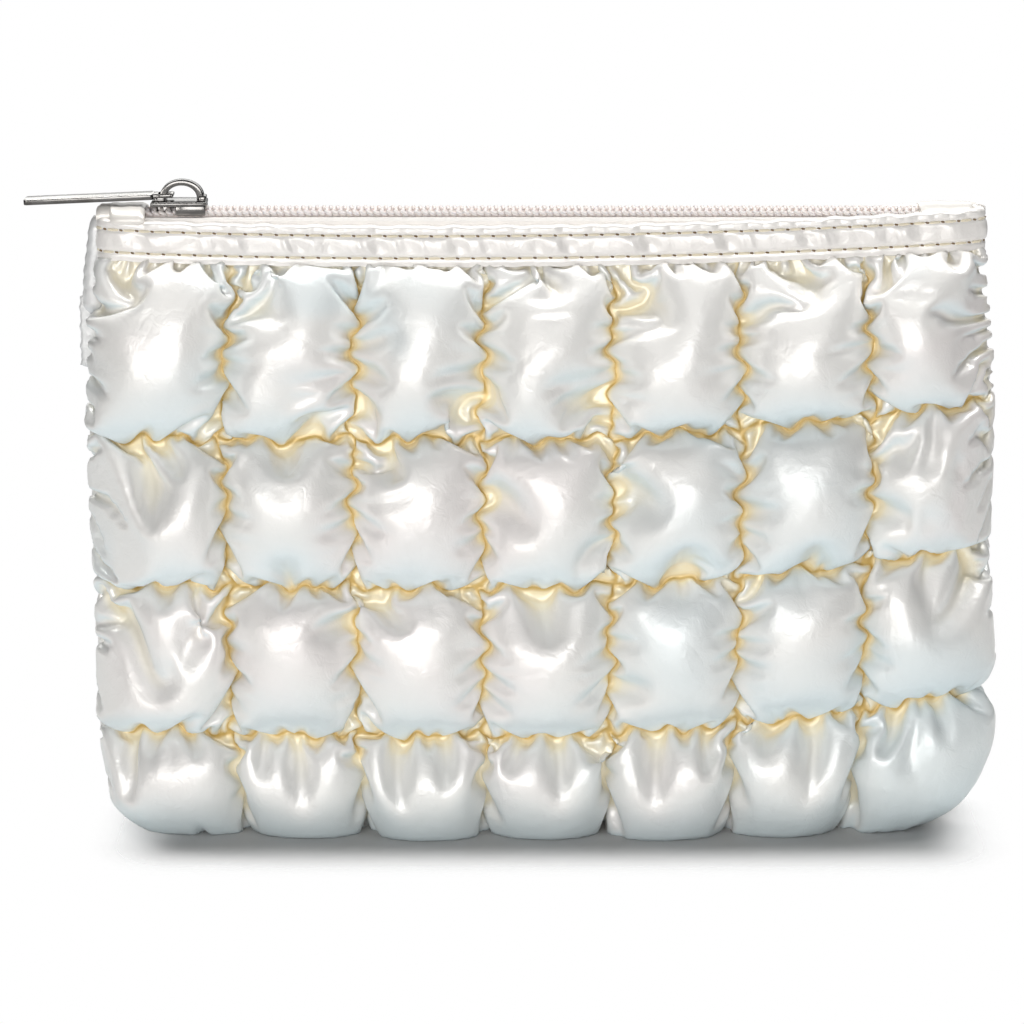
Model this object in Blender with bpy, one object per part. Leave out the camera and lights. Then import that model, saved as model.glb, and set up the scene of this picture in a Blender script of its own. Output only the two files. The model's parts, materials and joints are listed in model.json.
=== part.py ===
"""Quilted puffer pouch with a coil zipper, in metres, +Z up, standing on its flattened bottom puffs.

The origin is on the floor under the middle of the whole, puller included. X runs along the pouch,
the front faces -Y. Each sub-part is one object.
"""

import math

import bmesh
import bpy
import numpy as np
from mathutils import Vector

# Form of the lining, the inner skin that the padding is quilted to
HALF_WIDTH = 0.0979
HALF_DEPTH = 0.0144
SEAM_HEIGHT = 0.0029
BASE_TOP = 0.0270
TAPER_START = 0.0580
PANEL_TOP = 0.1325
MOUTH_HALF_DEPTH = 0.0052
CORNER_DROP = 0.0085
BELLY_HEIGHT = 0.0880
BELLY_DROP = 0.0036
MOUTH_DROP = 0.0043
MOUTH_DROP_POWER = 3
SIDE_POWER = 3.0
MOUTH_POWER = 7.0
BASE_POWER = 2.3
TAPER_POWER = 1.8

# Quilting
WALL = 0.0014
PUFF_RISE = 0.0074
FIRST_SEAM_SHARE = -0.722
COLUMN_PITCH_SHARE = 0.297
COLUMNS = 7
ROW_SEAM_SHARES = (0.164, 0.430, 0.689)
PUFF_POWER = 0.55
SIDE_PUFF_POWER = 1.3
SEAM_WAVE = 0.0011
WAVES_PER_PUFF = 2.0
COLUMN_WAVE_SHIFT = 0.37
ROW_WAVE_SHIFT = 0.29
GATHER_RISE = 0.0011
GATHER_SHARES = (1.0, 1.0, 0.5)
RIGHT_RISE = 0.0085
RIGHT_RISE_POWER = 1.5
LOWEST = 0.0

# Mouth: how far the rim sags, and where it is lowest as a share of the half width
RIM_SAG = 0.0019
RIM_CURVE = 0.0022
RIM_LOW_SHARE = -0.25

# Band round the mouth: how far it laps down over the panel and stands above it
BAND_LAP = 0.0039
BAND_RISE = 0.0045
BAND_BOTTOM = PANEL_TOP - BAND_LAP
BAND_TOP = PANEL_TOP + BAND_RISE
BAND_THICK = 0.0016
BAND_SOFT_SHARE = 0.35
BAND_CREST_SHARE = 1.6
BAND_SHOULDER_SHARE = 0.5

# Zipper
CLEARANCE = 0.0003
TAPE_THICK = 0.0006
TAPE_DROP = 0.0062
TAPE_INNER = 0.0013
TAPE_REACH_SHARE = 0.93
CHAIN_SEAT = 0.0001
CHAIN_BOTTOM = BAND_TOP + CHAIN_SEAT
CHAIN_THICK = 0.0017
CHAIN_HALF_WIDTH = 0.0029
CHAIN_TOP_SHARE = 0.72
TOOTH_PITCH = 0.0015
TOOTH_DEPTH = 0.00035
TAB_THICK = 0.0014
TAB_HALF_WIDTH = 0.0040
TAB_SOFT_SHARE = 0.35
TAB_STATIONS = 7
TAB_REACH_SHARE = 0.980
LEFT_TAB_LENGTH = 0.0054
RIGHT_TAB_LENGTH = 0.0092
MOUTH_HALF_WIDTH = HALF_WIDTH - MOUTH_DROP
TAB_END = TAB_REACH_SHARE * MOUTH_HALF_WIDTH
CHAIN_LEFT = -TAB_END + LEFT_TAB_LENGTH + CLEARANCE
CHAIN_RIGHT = TAB_END - RIGHT_TAB_LENGTH - CLEARANCE

# Slider, with the middle of its bail as the puller's axis
SLIDER_INSET = 0.0012
SLIDER_LENGTH = 0.0120
SLIDER_LEFT = CHAIN_LEFT + SLIDER_INSET
SLIDER_RIGHT = SLIDER_LEFT + SLIDER_LENGTH
SLIDER_HALF_WIDTH = 0.0043
SLIDER_TAIL_SHARE = 0.86
SLIDER_TAPER_START_SHARE = 0.3
SLIDER_STATIONS = (0.0, 0.06, 0.45, 0.94, 1.0)
LOWER_PLATE_HALF_WIDTH = 0.0034
PLATE = 0.0009
PLATE_SOFT_SHARE = 0.4
FLANGE = 0.0008
WEDGE_LENGTH = 0.0036
BAIL_INSET = 0.0066
BAIL_X = SLIDER_LEFT + BAIL_INSET
BAIL_LEG = 0.00084
BAIL_HALF_SPAN = 0.0048
BAIL_RISE = 0.0038
BAIL_STRIP = 0.0009
BAIL_WIDTH = 0.0028
BAIL_STEPS = 14

# Puller
BAR_LENGTH = 0.0285
BAR_WIDTH = 0.0058
BAR_THICK = 0.00125
BAR_EDGE = 0.00028
BAR_CORNER = 3 * BAR_EDGE
EYE_THICK = 0.0008
EYE_ARM = 0.0007
EYE_BAR = 0.0008
EYE_SLACK_SHARE = 0.35
EYE_SOFT_SHARE = 0.3
EYE_RADIUS = 0.00225
EYE_ANGLE = math.radians(12)
PULLER_TILT = math.radians(3)
NECK_LENGTH = 0.0012

# Folded loop in the left side seam
LOOP_DROP = 0.0145
LOOP_TOP = PANEL_TOP - LOOP_DROP
LOOP_HEIGHT = 0.0177
LOOP_SEAT = 0.0006
LOOP_REACH = 0.0030
LOOP_HALF_THICK = 0.0005
LOOP_END_SHARE = 0.8
LOOP_SOFT_SHARE = 0.4
LOOP_STATIONS = (0.0, 0.08, 0.5, 0.92, 1.0)

# Faces across one puff, which of those lines the lining uses, and the angles that stay smooth
FRONT_STEPS = 8
BACK_STEPS = 6
LINING_SKIP = 2
CLOTH_SMOOTH_ANGLE = 60.0
SMOOTH_ANGLE = 35.0

# Main folds and dents of the front puffs: rows from the top, columns from the left, and the rest
# as shares of the puff: place across and up, half length, half width, and depth of the puff's rise
FOLD_COLUMNS = ("row", "column", "across", "up", "angle", "length", "width", "depth")
FRONT_FOLDS = (
    (1, 1, 0.30, 0.72, 50, 0.35, 0.12, 0.30),
    (1, 2, 0.25, 0.80, 60, 0.30, 0.12, 0.35),
    (1, 2, 0.55, 0.10, 0, 0.25, 0.12, 0.30),
    (1, 3, 0.15, 0.50, 90, 0.40, 0.12, 0.30),
    (1, 3, 0.80, 0.20, -45, 0.25, 0.13, 0.35),
    (1, 4, 0.50, 0.84, 90, 0.25, 0.18, 0.40),
    (1, 4, 0.78, 0.22, -40, 0.30, 0.17, 0.50),
    (1, 5, 0.25, 0.72, 60, 0.32, 0.14, 0.42),
    (1, 6, 0.50, 0.84, 90, 0.24, 0.20, 0.42),
    (1, 7, 0.40, 0.55, -45, 0.50, 0.11, 0.38),
    (2, 1, 0.50, 0.82, 90, 0.30, 0.14, 0.42),
    (2, 2, 0.50, 0.84, 90, 0.22, 0.16, 0.36),
    (2, 2, 0.50, 0.12, 90, 0.16, 0.12, 0.30),
    (2, 3, 0.30, 0.80, 60, 0.26, 0.15, 0.36),
    (2, 4, 0.20, 0.55, 80, 0.36, 0.13, 0.42),
    (2, 5, 0.20, 0.60, 80, 0.36, 0.13, 0.42),
    (2, 5, 0.55, 0.15, 90, 0.20, 0.18, 0.36),
    (2, 6, 0.12, 0.50, 90, 0.40, 0.11, 0.30),
    (2, 7, 0.28, 0.68, -20, 0.36, 0.11, 0.42),
    (2, 7, 0.28, 0.30, 15, 0.32, 0.11, 0.36),
    (3, 1, 0.42, 0.55, -60, 0.38, 0.13, 0.42),
    (3, 1, 0.70, 0.75, 60, 0.30, 0.12, 0.36),
    (3, 3, 0.45, 0.72, -50, 0.36, 0.13, 0.36),
    (3, 4, 0.50, 0.80, 80, 0.30, 0.15, 0.42),
    (3, 7, 0.68, 0.78, -60, 0.32, 0.13, 0.42),
    (4, 1, 0.35, 0.86, 90, 0.22, 0.12, 0.36),
    (4, 2, 0.55, 0.86, 90, 0.22, 0.14, 0.36),
    (4, 3, 0.35, 0.86, 90, 0.24, 0.12, 0.38),
    (4, 4, 0.60, 0.86, 90, 0.20, 0.12, 0.34),
    (4, 5, 0.40, 0.86, 90, 0.22, 0.13, 0.36),
    (4, 6, 0.60, 0.86, 90, 0.24, 0.13, 0.38),
    (4, 7, 0.35, 0.80, 60, 0.28, 0.12, 0.36),
)


def clear_scene():
    """Remove every object that the file opened with."""
    for thing in list(bpy.data.objects):
        bpy.data.objects.remove(thing, do_unlink=True)


def make_material(name, colour, roughness, metallic=0.0, coat=0.0):
    """Return a Principled material."""
    material = bpy.data.materials.new(name)
    material.use_nodes = True
    shader = material.node_tree.nodes["Principled BSDF"]
    shader.inputs["Base Color"].default_value = (*colour, 1.0)
    shader.inputs["Roughness"].default_value = roughness
    shader.inputs["Metallic"].default_value = metallic
    shader.inputs["Coat Weight"].default_value = coat
    return material


def add_object(name, mesh_data, material, parent, smooth_angle=SMOOTH_ANGLE):
    """Link a finished bmesh as a named object under its parent, with its faces turned outwards."""
    bmesh.ops.recalc_face_normals(mesh_data, faces=mesh_data.faces)
    mesh = bpy.data.meshes.new(name)
    mesh_data.to_mesh(mesh)
    mesh_data.free()
    mesh.shade_smooth()
    mesh.set_sharp_from_angle(angle=math.radians(smooth_angle))
    thing = bpy.data.objects.new(name, mesh)
    if material:
        mesh.materials.append(material)
    thing.parent = parent
    bpy.context.collection.objects.link(thing)
    return thing


def add_empty(name, place, parent=None):
    """Add an empty that carries other objects."""
    empty = bpy.data.objects.new(name, None)
    empty.location = place
    empty.parent = parent
    bpy.context.collection.objects.link(empty)
    return empty


def hide_guide(thing):
    """Keep a shape that is only joined to, or cut from, another one out of the render."""
    thing.hide_render = True
    thing.display_type = "WIRE"


def combine(thing, other, operation):
    """Join another closed shape to an object, or cut it away."""
    hide_guide(other)
    modifier = thing.modifiers.new(other.name, "BOOLEAN")
    modifier.operation = operation
    modifier.object = other


def side_height(height):
    """Share of the way from the taper's start to the panel's top."""
    return np.clip((height - TAPER_START) / (PANEL_TOP - TAPER_START), 0.0, 1.0)


def base_share(height):
    """1 at the bottom seam, falling to 0 where the rounded base ends."""
    return np.clip((BASE_TOP - height) / (BASE_TOP - SEAM_HEIGHT), 0.0, 1.0)


def half_depth(height):
    """Half depth of the lining in the middle of the pouch."""
    base = (1.0 - base_share(height) ** BASE_POWER) ** (1.0 / BASE_POWER)
    taper = (HALF_DEPTH - MOUTH_HALF_DEPTH) * side_height(height) ** TAPER_POWER
    return HALF_DEPTH * base - taper


def half_width(height):
    """Half width of the lining, widest at the belly and pulled in at the bottom corners and mouth."""
    corner = 1.0 - (1.0 - base_share(height) ** BASE_POWER) ** (1.0 / BASE_POWER)
    below = np.maximum(1.0 - height / BELLY_HEIGHT, 0.0)
    pull = side_height(height) ** MOUTH_DROP_POWER
    return HALF_WIDTH - CORNER_DROP * corner - BELLY_DROP * below - MOUTH_DROP * pull


def plan_power(height):
    """Squareness of the plan section, rounder at the belly than at the mouth."""
    return SIDE_POWER + (MOUTH_POWER - SIDE_POWER) * side_height(height)


def depth_share(across, height):
    """Share of the half depth that is left at a place across, from -1 to 1."""
    power = plan_power(height)
    return (1.0 - np.minimum(np.abs(across), 1.0) ** power) ** (1.0 / power)


def mouth_curve(across, height):
    """Points of the lining's plan section, with the outward direction at each."""
    across = np.asarray(across, dtype=float)
    step = 1e-4
    near = np.maximum(across - step, -1.0)
    far = np.minimum(across + step, 1.0)
    width = half_width(height)
    depth = half_depth(np.minimum(height, PANEL_TOP))
    place = np.stack((across * width, -depth * depth_share(across, height)), axis=-1)
    run_x = (far - near) * width
    run_y = -depth * (depth_share(far, height) - depth_share(near, height))
    outward = np.stack((run_y, -run_x), axis=-1)
    outward = outward / np.linalg.norm(outward, axis=-1, keepdims=True)
    side_seam = np.abs(across) >= 1.0
    outward = np.where(side_seam[..., None], np.stack((np.sign(across), 0.0 * across), axis=-1), outward)
    return place, outward


def rim_offset(across):
    """How far the mouth lies above or below its nominal height."""
    return RIM_CURVE * (across - RIM_LOW_SHARE) ** 2 - RIM_SAG


def spread(steps):
    """Places of the lines across one puff, from 0 to 1, closer together towards its seams."""
    return 0.5 - 0.5 * np.cos(np.pi * np.arange(steps + 1) / steps)


def even_arc(low, high, places):
    """Places across that are spread along the rounded side's arc, between two column seams."""
    fine = low + (high - low) * (0.5 - 0.5 * np.cos(np.linspace(0.0, np.pi, 400)))
    x = fine * HALF_WIDTH
    y = HALF_DEPTH * depth_share(fine, TAPER_START)
    length = np.concatenate(([0.0], np.cumsum(np.hypot(np.diff(x), np.diff(y)))))
    return np.interp(np.asarray(places) * length[-1], length, fine)


def column_seams():
    """Places across of all column seams, the two side seams included."""
    inner = [FIRST_SEAM_SHARE + COLUMN_PITCH_SHARE * k for k in range(COLUMNS - 1)]
    return [-1.0, *inner, 1.0]


def column_lines(steps):
    """Places across of every line of the panel's grid."""
    seams = column_seams()
    places = [np.array([-1.0])]
    for low, high in zip(seams[:-1], seams[1:]):
        places.append(even_arc(low, high, spread(steps))[1:])
    return np.concatenate(places)


def profile(steps):
    """Heights, half depths and side heights of the grid's lines, from the bottom seam up."""
    fine = np.concatenate((
        SEAM_HEIGHT + (BASE_TOP - SEAM_HEIGHT) * np.linspace(0.0, 1.0, 300) ** 3,
        np.linspace(BASE_TOP, PANEL_TOP, 300)[1:]))
    depth = half_depth(fine)
    length = np.concatenate(([0.0], np.cumsum(np.hypot(np.diff(fine), np.diff(depth)))))
    tall = BAND_BOTTOM - SEAM_HEIGHT
    top = BAND_BOTTOM - 2 * CLEARANCE
    seams = [SEAM_HEIGHT, *(SEAM_HEIGHT + tall * share for share in ROW_SEAM_SHARES), top]
    marks = np.interp(seams, fine, length)
    places = [np.array([0.0])]
    sides = [np.array([SEAM_HEIGHT])]
    for row in range(len(seams) - 1):
        places.append((marks[row] + (marks[row + 1] - marks[row]) * spread(steps))[1:])
        sides.append((seams[row] + (seams[row + 1] - seams[row]) * spread(steps))[1:])
    places.append(np.array([length[-1]]))
    sides.append(np.array([PANEL_TOP]))
    places = np.concatenate(places)
    heights = np.interp(places, length, fine)
    return heights, half_depth(heights), np.concatenate(sides)


def lining_points(steps):
    """Grid of points of the front lining, indexed by line up and line across."""
    across = column_lines(steps)[None, :]
    heights, depths, sides = (values[:, None] for values in profile(steps))
    share = depth_share(across, heights)
    height = heights * share + sides * (1.0 - share)
    rows = len(ROW_SEAM_SHARES) + 1
    line = np.arange(rows * steps + 2)[:, None] / steps
    mouth = np.clip(line - (rows - 1), 0.0, 1.0)
    body = np.clip(line, 0.0, 1.0) * (1.0 - mouth)
    rise = RIGHT_RISE * np.clip(across, 0.0, 1.0) ** RIGHT_RISE_POWER
    height = height + rise * body + rim_offset(across) * mouth
    x = across * half_width(heights) + 0.0 * height
    y = -depths * share - CLEARANCE / 2
    return np.stack((x, y, height), axis=-1)


def grid_normals(points):
    """Outward normals of a grid of points, kept in the middle plane along the seams at its edges."""
    along = np.gradient(points, axis=1)
    up = np.gradient(points, axis=0)
    normal = np.cross(along, up)
    normal[:, 0] = (-1.0, 0.0, 0.0)
    normal[:, -1] = (1.0, 0.0, 0.0)
    normal[0] = (0.0, 0.0, -1.0)
    normal[0, 0] = (-1.0, 0.0, -1.0)
    normal[0, -1] = (1.0, 0.0, -1.0)
    return normal / np.linalg.norm(normal, axis=-1, keepdims=True)


def dome(place, power):
    """Rise of a puff along one direction, from 0 at a seam to 1 in the middle."""
    return np.sin(np.pi * np.clip(place, 0.0, 1.0)) ** power


def side_dome(place, column):
    """Rise of a puff across a column, with gentler slopes at the pouch's two side seams."""
    steep = dome(place, PUFF_POWER)
    gentle = dome(place, SIDE_PUFF_POWER)
    if column == 1:
        return np.where(place < 0.5, gentle, steep)
    if column == COLUMNS:
        return np.where(place > 0.5, gentle, steep)
    return steep


def fold_depth(folds, row, column, across, up):
    """Depth of a puff's folds at places across and up, as a share of its rise."""
    depth = np.zeros_like(across)
    for values in folds:
        fold = dict(zip(FOLD_COLUMNS, values))
        if (fold["row"], fold["column"]) != (row, column):
            continue
        turn = math.radians(fold["angle"])
        dx = across - fold["across"]
        dy = up - fold["up"]
        along = dx * math.cos(turn) + dy * math.sin(turn)
        beside = dy * math.cos(turn) - dx * math.sin(turn)
        depth += fold["depth"] * np.exp(-(along / fold["length"]) ** 2 - (beside / fold["width"]) ** 2)
    return depth


def puff_rise(steps, folds):
    """Rise of the quilted skin over the seams, on the panel's grid."""
    rows = len(ROW_SEAM_SHARES) + 1
    rise = np.zeros((rows * steps + 2, COLUMNS * steps + 1))
    place = spread(steps)
    across, up = np.meshgrid(place, place)
    for level in range(rows):
        for index in range(COLUMNS):
            row = rows - level
            shape = side_dome(across, index + 1) * dome(up, PUFF_POWER)
            shape = shape * (1.0 - fold_depth(folds, row, index + 1, across, up))
            rows_here = slice(level * steps, (level + 1) * steps + 1)
            lines_here = slice(index * steps, (index + 1) * steps + 1)
            rise[rows_here, lines_here] = PUFF_RISE * shape
    return rise


def seam_waves(steps, shape):
    """Shift along the grid's two directions that makes the quilt seams wander."""
    up = np.arange(shape[0])[:, None] / steps
    along = np.arange(shape[1])[None, :] / steps
    edge = np.clip(along, 0.0, 1.0) * np.clip(COLUMNS - along, 0.0, 1.0)
    level = np.clip(up, 0.0, 1.0) * np.clip(len(ROW_SEAM_SHARES) + 1 - up, 0.0, 1.0)
    sideways = np.sin(2 * np.pi * (WAVES_PER_PUFF * up + COLUMN_WAVE_SHIFT * np.round(along))) * edge * level
    upward = np.sin(2 * np.pi * (WAVES_PER_PUFF * along + ROW_WAVE_SHIFT * np.round(up))) * edge * level
    return SEAM_WAVE * sideways, SEAM_WAVE * upward


def skin_points(steps, folds):
    """Grid of points of the quilted outer skin of the front panel."""
    lining = lining_points(steps)
    normals = grid_normals(lining)
    rim = (len(ROW_SEAM_SHARES) + 1) * steps
    heights = profile(steps)[0]
    for line in (rim, rim + 1):
        normals[line, :, :2] = mouth_curve(column_lines(steps), heights[line])[1]
        normals[line, :, 2] = 0.0
    rise = puff_rise(steps, folds)
    along = np.arange(lining.shape[1])
    flutes = 1.0 + np.cos(np.pi * along)
    inside = np.clip(along / steps, 0.0, 1.0) * np.clip(COLUMNS - along / steps, 0.0, 1.0)
    for below, share in enumerate(GATHER_SHARES, start=1):
        rise[rim - below] += GATHER_RISE * share * flutes * inside
    sideways, upward = seam_waves(steps, rise.shape)
    skin = lining + normals * (WALL + rise)[..., None]
    skin[..., 0] += sideways
    skin[..., 2] += upward
    skin[..., 1] = np.minimum(skin[..., 1], -CLEARANCE / 2)
    skin[..., 2] = np.maximum(skin[..., 2], LOWEST)
    return lining, skin


def add_grid(mesh_data, points):
    """Add a grid of faces through points, and return its rows of vertices."""
    rows, lines = points.shape[:2]
    made = bmesh.ops.create_grid(mesh_data, x_segments=lines - 1, y_segments=rows - 1, size=1.0)
    verts = made["verts"]
    for vert, place in zip(verts, points.reshape(-1, 3)):
        vert.co = place
    return [verts[k * lines:(k + 1) * lines] for k in range(rows)]


def border(rows):
    """Vertices round the edge of a grid, once round."""
    last = len(rows) - 1
    right = [row[-1] for row in rows[1:last]]
    left = [row[0] for row in rows[1:last]]
    return [*rows[0], *right, *reversed(rows[-1]), *reversed(left)]


def zip_edges(mesh_data, fine, coarse, pairs):
    """Close the wall between a fine and a coarse edge, given which vertices face each other."""
    for (start, far_start), (end, far_end) in zip(pairs, pairs[1:] + pairs[:1]):
        run = fine[start:end + 1] if end > start else fine[start:] + fine[:end + 1]
        middle = len(run) // 2
        for k, (one, two) in enumerate(zip(run[:-1], run[1:])):
            mesh_data.faces.new((one, two, coarse[far_start if k < middle else far_end]))
        mesh_data.faces.new((run[middle], coarse[far_end], coarse[far_start]))


def build_panel(name, steps, folds, side, material, parent):
    """One quilted wall: an outer skin of puffs, a plain lining and the edge between them."""
    lining, skin = skin_points(steps, folds)
    keep_up = [*range(0, lining.shape[0] - 1, LINING_SKIP), lining.shape[0] - 1]
    keep_along = list(range(0, lining.shape[1], LINING_SKIP))
    inner = lining[np.ix_(keep_up, keep_along)]
    turn = np.array([1.0, side, 1.0])
    mesh_data = bmesh.new()
    outer_rows = add_grid(mesh_data, skin * turn)
    inner_rows = add_grid(mesh_data, inner * turn)
    fine = border(outer_rows)
    coarse = border(inner_rows)
    index = {vert: k for k, vert in enumerate(fine)}
    pairs = []
    for k, vert in enumerate(border([[(i, j) for j in keep_along] for i in keep_up])):
        pairs.append((index[outer_rows[vert[0]][vert[1]]], k))
    zip_edges(mesh_data, fine, coarse, pairs)
    bmesh.ops.triangulate(mesh_data, faces=mesh_data.faces)
    return add_object(name, mesh_data, material, parent, CLOTH_SMOOTH_ANGLE)


def loft(mesh_data, sections):
    """Close a solid through sections with the same number of points."""
    rings = [[mesh_data.verts.new(point) for point in section] for section in sections]
    for one, two in zip(rings[:-1], rings[1:]):
        for k in range(len(one)):
            following = (k + 1) % len(one)
            mesh_data.faces.new((one[k], one[following], two[following], two[k]))
    mesh_data.faces.new(list(reversed(rings[0])))
    mesh_data.faces.new(rings[-1])


def mouth_point(across, offset, height, side):
    """Point at a distance outside the lining's curve near the mouth."""
    place, outward = mouth_curve(across, height)
    x, y = place + outward * offset
    return Vector((x, side * (min(y, 0.0) - CLEARANCE / 2), height + rim_offset(across)))


def mouth_stations(steps):
    """Lines of the grid that pieces round the mouth follow, all of them where it bends."""
    lines = column_lines(steps)
    last = (COLUMNS - 1) * steps
    return np.concatenate((lines[:steps], lines[steps:last:LINING_SKIP], lines[last:]))


def build_band(name, steps, side, material, parent):
    """The folded strip, with a step inside that takes the panel's top edge."""
    inside = WALL + CLEARANCE
    outside = inside + BAND_THICK
    soft = BAND_THICK * BAND_SOFT_SHARE
    crest = BAND_CREST_SHARE * soft
    shoulder = BAND_SHOULDER_SHARE * soft
    step = PANEL_TOP + CLEARANCE
    section = (
        (inside, BAND_BOTTOM), (inside, step), (0.0, step), (0.0, BAND_TOP - soft),
        (soft, BAND_TOP), (outside - crest, BAND_TOP), (outside - shoulder, BAND_TOP - crest),
        (outside, (BAND_TOP + BAND_BOTTOM) / 2), (outside, BAND_BOTTOM + soft),
        (outside - soft, BAND_BOTTOM),
    )
    places = mouth_stations(steps)
    mesh_data = bmesh.new()
    loft(mesh_data, [[mouth_point(place, *point, side) for point in section] for place in places])
    return add_object(name, mesh_data, material, parent)


def build_tape(name, side, material, parent):
    """The woven tape: a flange behind the band and a shelf that carries half the chain."""
    top = CHAIN_BOTTOM - CLEARANCE
    bottom = top - TAPE_DROP
    under = top - TAPE_THICK
    places = [place for place in mouth_stations(FRONT_STEPS) if abs(place) < TAPE_REACH_SHARE]
    places = [-TAPE_REACH_SHARE, *places, TAPE_REACH_SHARE]
    sections = []
    for place in places:
        lower, outward = mouth_curve(place, PANEL_TOP)
        x, y = lower - outward * CLEARANCE
        back = lower - outward * (CLEARANCE + TAPE_THICK)
        over = (y + TAPE_THICK / 2, -TAPE_INNER)
        section = (
            (x, y, bottom), (x, y, under), (x, over[0], top), (x, over[1], top),
            (x, over[1], under), (back[0], back[1], under), (back[0], back[1], bottom),
        )
        sections.append([Vector((px, side * py, pz)) for px, py, pz in section])
    mesh_data = bmesh.new()
    loft(mesh_data, sections)
    return add_object(name, mesh_data, material, parent)


def chain_section(x, grow):
    """Section of the chain at one place, full at a tooth and smaller between two teeth."""
    wide = CHAIN_HALF_WIDTH + grow
    top = CHAIN_BOTTOM + CHAIN_THICK + grow
    return [Vector((x, -wide, CHAIN_BOTTOM)), Vector((x, wide, CHAIN_BOTTOM)),
            Vector((x, wide * CHAIN_TOP_SHARE, top)), Vector((x, -wide * CHAIN_TOP_SHARE, top))]


def build_chain(material, parent):
    """The closed chain, ribbed at the real tooth pitch, with a slot round the slider's wedge."""
    count = round((CHAIN_RIGHT - CHAIN_LEFT) / TOOTH_PITCH) * 2
    sections = []
    for k, x in enumerate(np.linspace(CHAIN_LEFT, CHAIN_RIGHT, count + 1)):
        sections.append(chain_section(x, -TOOTH_DEPTH if k % 2 else 0.0))
    mesh_data = bmesh.new()
    loft(mesh_data, sections)
    chain = add_object("zipper_chain", mesh_data, material, parent)
    slot = bmesh.new()
    right = SLIDER_LEFT + WEDGE_LENGTH + CLEARANCE
    left = CHAIN_LEFT - CLEARANCE
    add_block(slot, (left, -TAPE_INNER, CHAIN_BOTTOM - PLATE),
              (right, TAPE_INNER, CHAIN_BOTTOM + 2 * CHAIN_THICK))
    combine(chain, add_object("chain_slot", slot, None, parent), "DIFFERENCE")
    return chain


def add_block(mesh_data, low, high):
    """Add a box between two corners."""
    low = Vector(low)
    high = Vector(high)
    made = bmesh.ops.create_cube(mesh_data, size=1.0)
    bmesh.ops.scale(mesh_data, vec=high - low, verts=made["verts"])
    bmesh.ops.translate(mesh_data, vec=(low + high) / 2, verts=made["verts"])
    return made["verts"]


def build_end_tab(name, start, end, material, parent):
    """Folded cloth over one end of the zipper, as wide as the mouth lets it be."""
    bottom = CHAIN_BOTTOM
    top = bottom + TAB_THICK
    sections = []
    for x in np.linspace(start, end, TAB_STATIONS):
        across = x / MOUTH_HALF_WIDTH
        room = MOUTH_HALF_DEPTH * float(depth_share(across, PANEL_TOP)) - CLEARANCE
        wide = min(TAB_HALF_WIDTH, room)
        soft = TAB_THICK * TAB_SOFT_SHARE
        sections.append([Vector((x, y, z)) for y, z in (
            (-wide + soft, bottom), (wide - soft, bottom), (wide, bottom + soft), (wide, top - soft),
            (wide - soft, top), (-wide + soft, top), (-wide, top - soft), (-wide, bottom + soft))])
    mesh_data = bmesh.new()
    loft(mesh_data, sections)
    return add_object(name, mesh_data, material, parent)


def plate_top():
    """Height of the slider's top face."""
    return CHAIN_BOTTOM + CHAIN_THICK + CLEARANCE + PLATE


def upper_plate_shape():
    """The slider's upper plate with its two side flanges, narrower towards the tail."""
    top = plate_top()
    under = top - PLATE
    foot = CHAIN_BOTTOM
    soft = PLATE * PLATE_SOFT_SHARE
    sections = []
    for share in SLIDER_STATIONS:
        x = SLIDER_LEFT + (SLIDER_RIGHT - SLIDER_LEFT) * share
        along = max(0.0, share - SLIDER_TAPER_START_SHARE) / (1.0 - SLIDER_TAPER_START_SHARE)
        narrow = 1.0 + (SLIDER_TAIL_SHARE - 1.0) * along
        wide = max(SLIDER_HALF_WIDTH * narrow, CHAIN_HALF_WIDTH + CLEARANCE + FLANGE)
        if share in (0.0, 1.0):
            wide = wide - soft
        wall = CHAIN_HALF_WIDTH + CLEARANCE
        half = [(wide, foot), (wide, top - soft), (wide - soft, top)]
        inner = [(wall, foot), (wall, under)]
        ring = [(-y, z) for y, z in half] + [(y, z) for y, z in reversed(half)]
        ring += inner + [(-y, z) for y, z in reversed(inner)]
        sections.append([Vector((x, y, z)) for y, z in ring])
    mesh_data = bmesh.new()
    loft(mesh_data, sections)
    return mesh_data


def build_bail(parent):
    """The bail: a flat strip bent over the upper plate, with its feet in the plate."""
    outer = (BAIL_HALF_SPAN, BAIL_RISE)
    inner = (BAIL_HALF_SPAN - BAIL_STRIP, BAIL_RISE - BAIL_STRIP)
    axis = plate_top() + BAIL_LEG
    foot = plate_top() - PLATE / 2
    sections = []
    angles = np.linspace(math.pi, 0.0, BAIL_STEPS + 1)
    stations = [(math.pi, foot - axis), *((angle, None) for angle in angles), (0.0, foot - axis)]
    for angle, drop in stations:
        ring = []
        for (span, rise), side in ((outer, -1), (outer, 1), (inner, 1), (inner, -1)):
            x = BAIL_X + span * math.cos(angle)
            z = axis + (rise * math.sin(angle) if drop is None else drop)
            ring.append(Vector((x, side * BAIL_WIDTH / 2, z)))
        sections.append(ring)
    mesh_data = bmesh.new()
    loft(mesh_data, sections)
    return add_object("bail_shape", mesh_data, None, parent)


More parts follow.
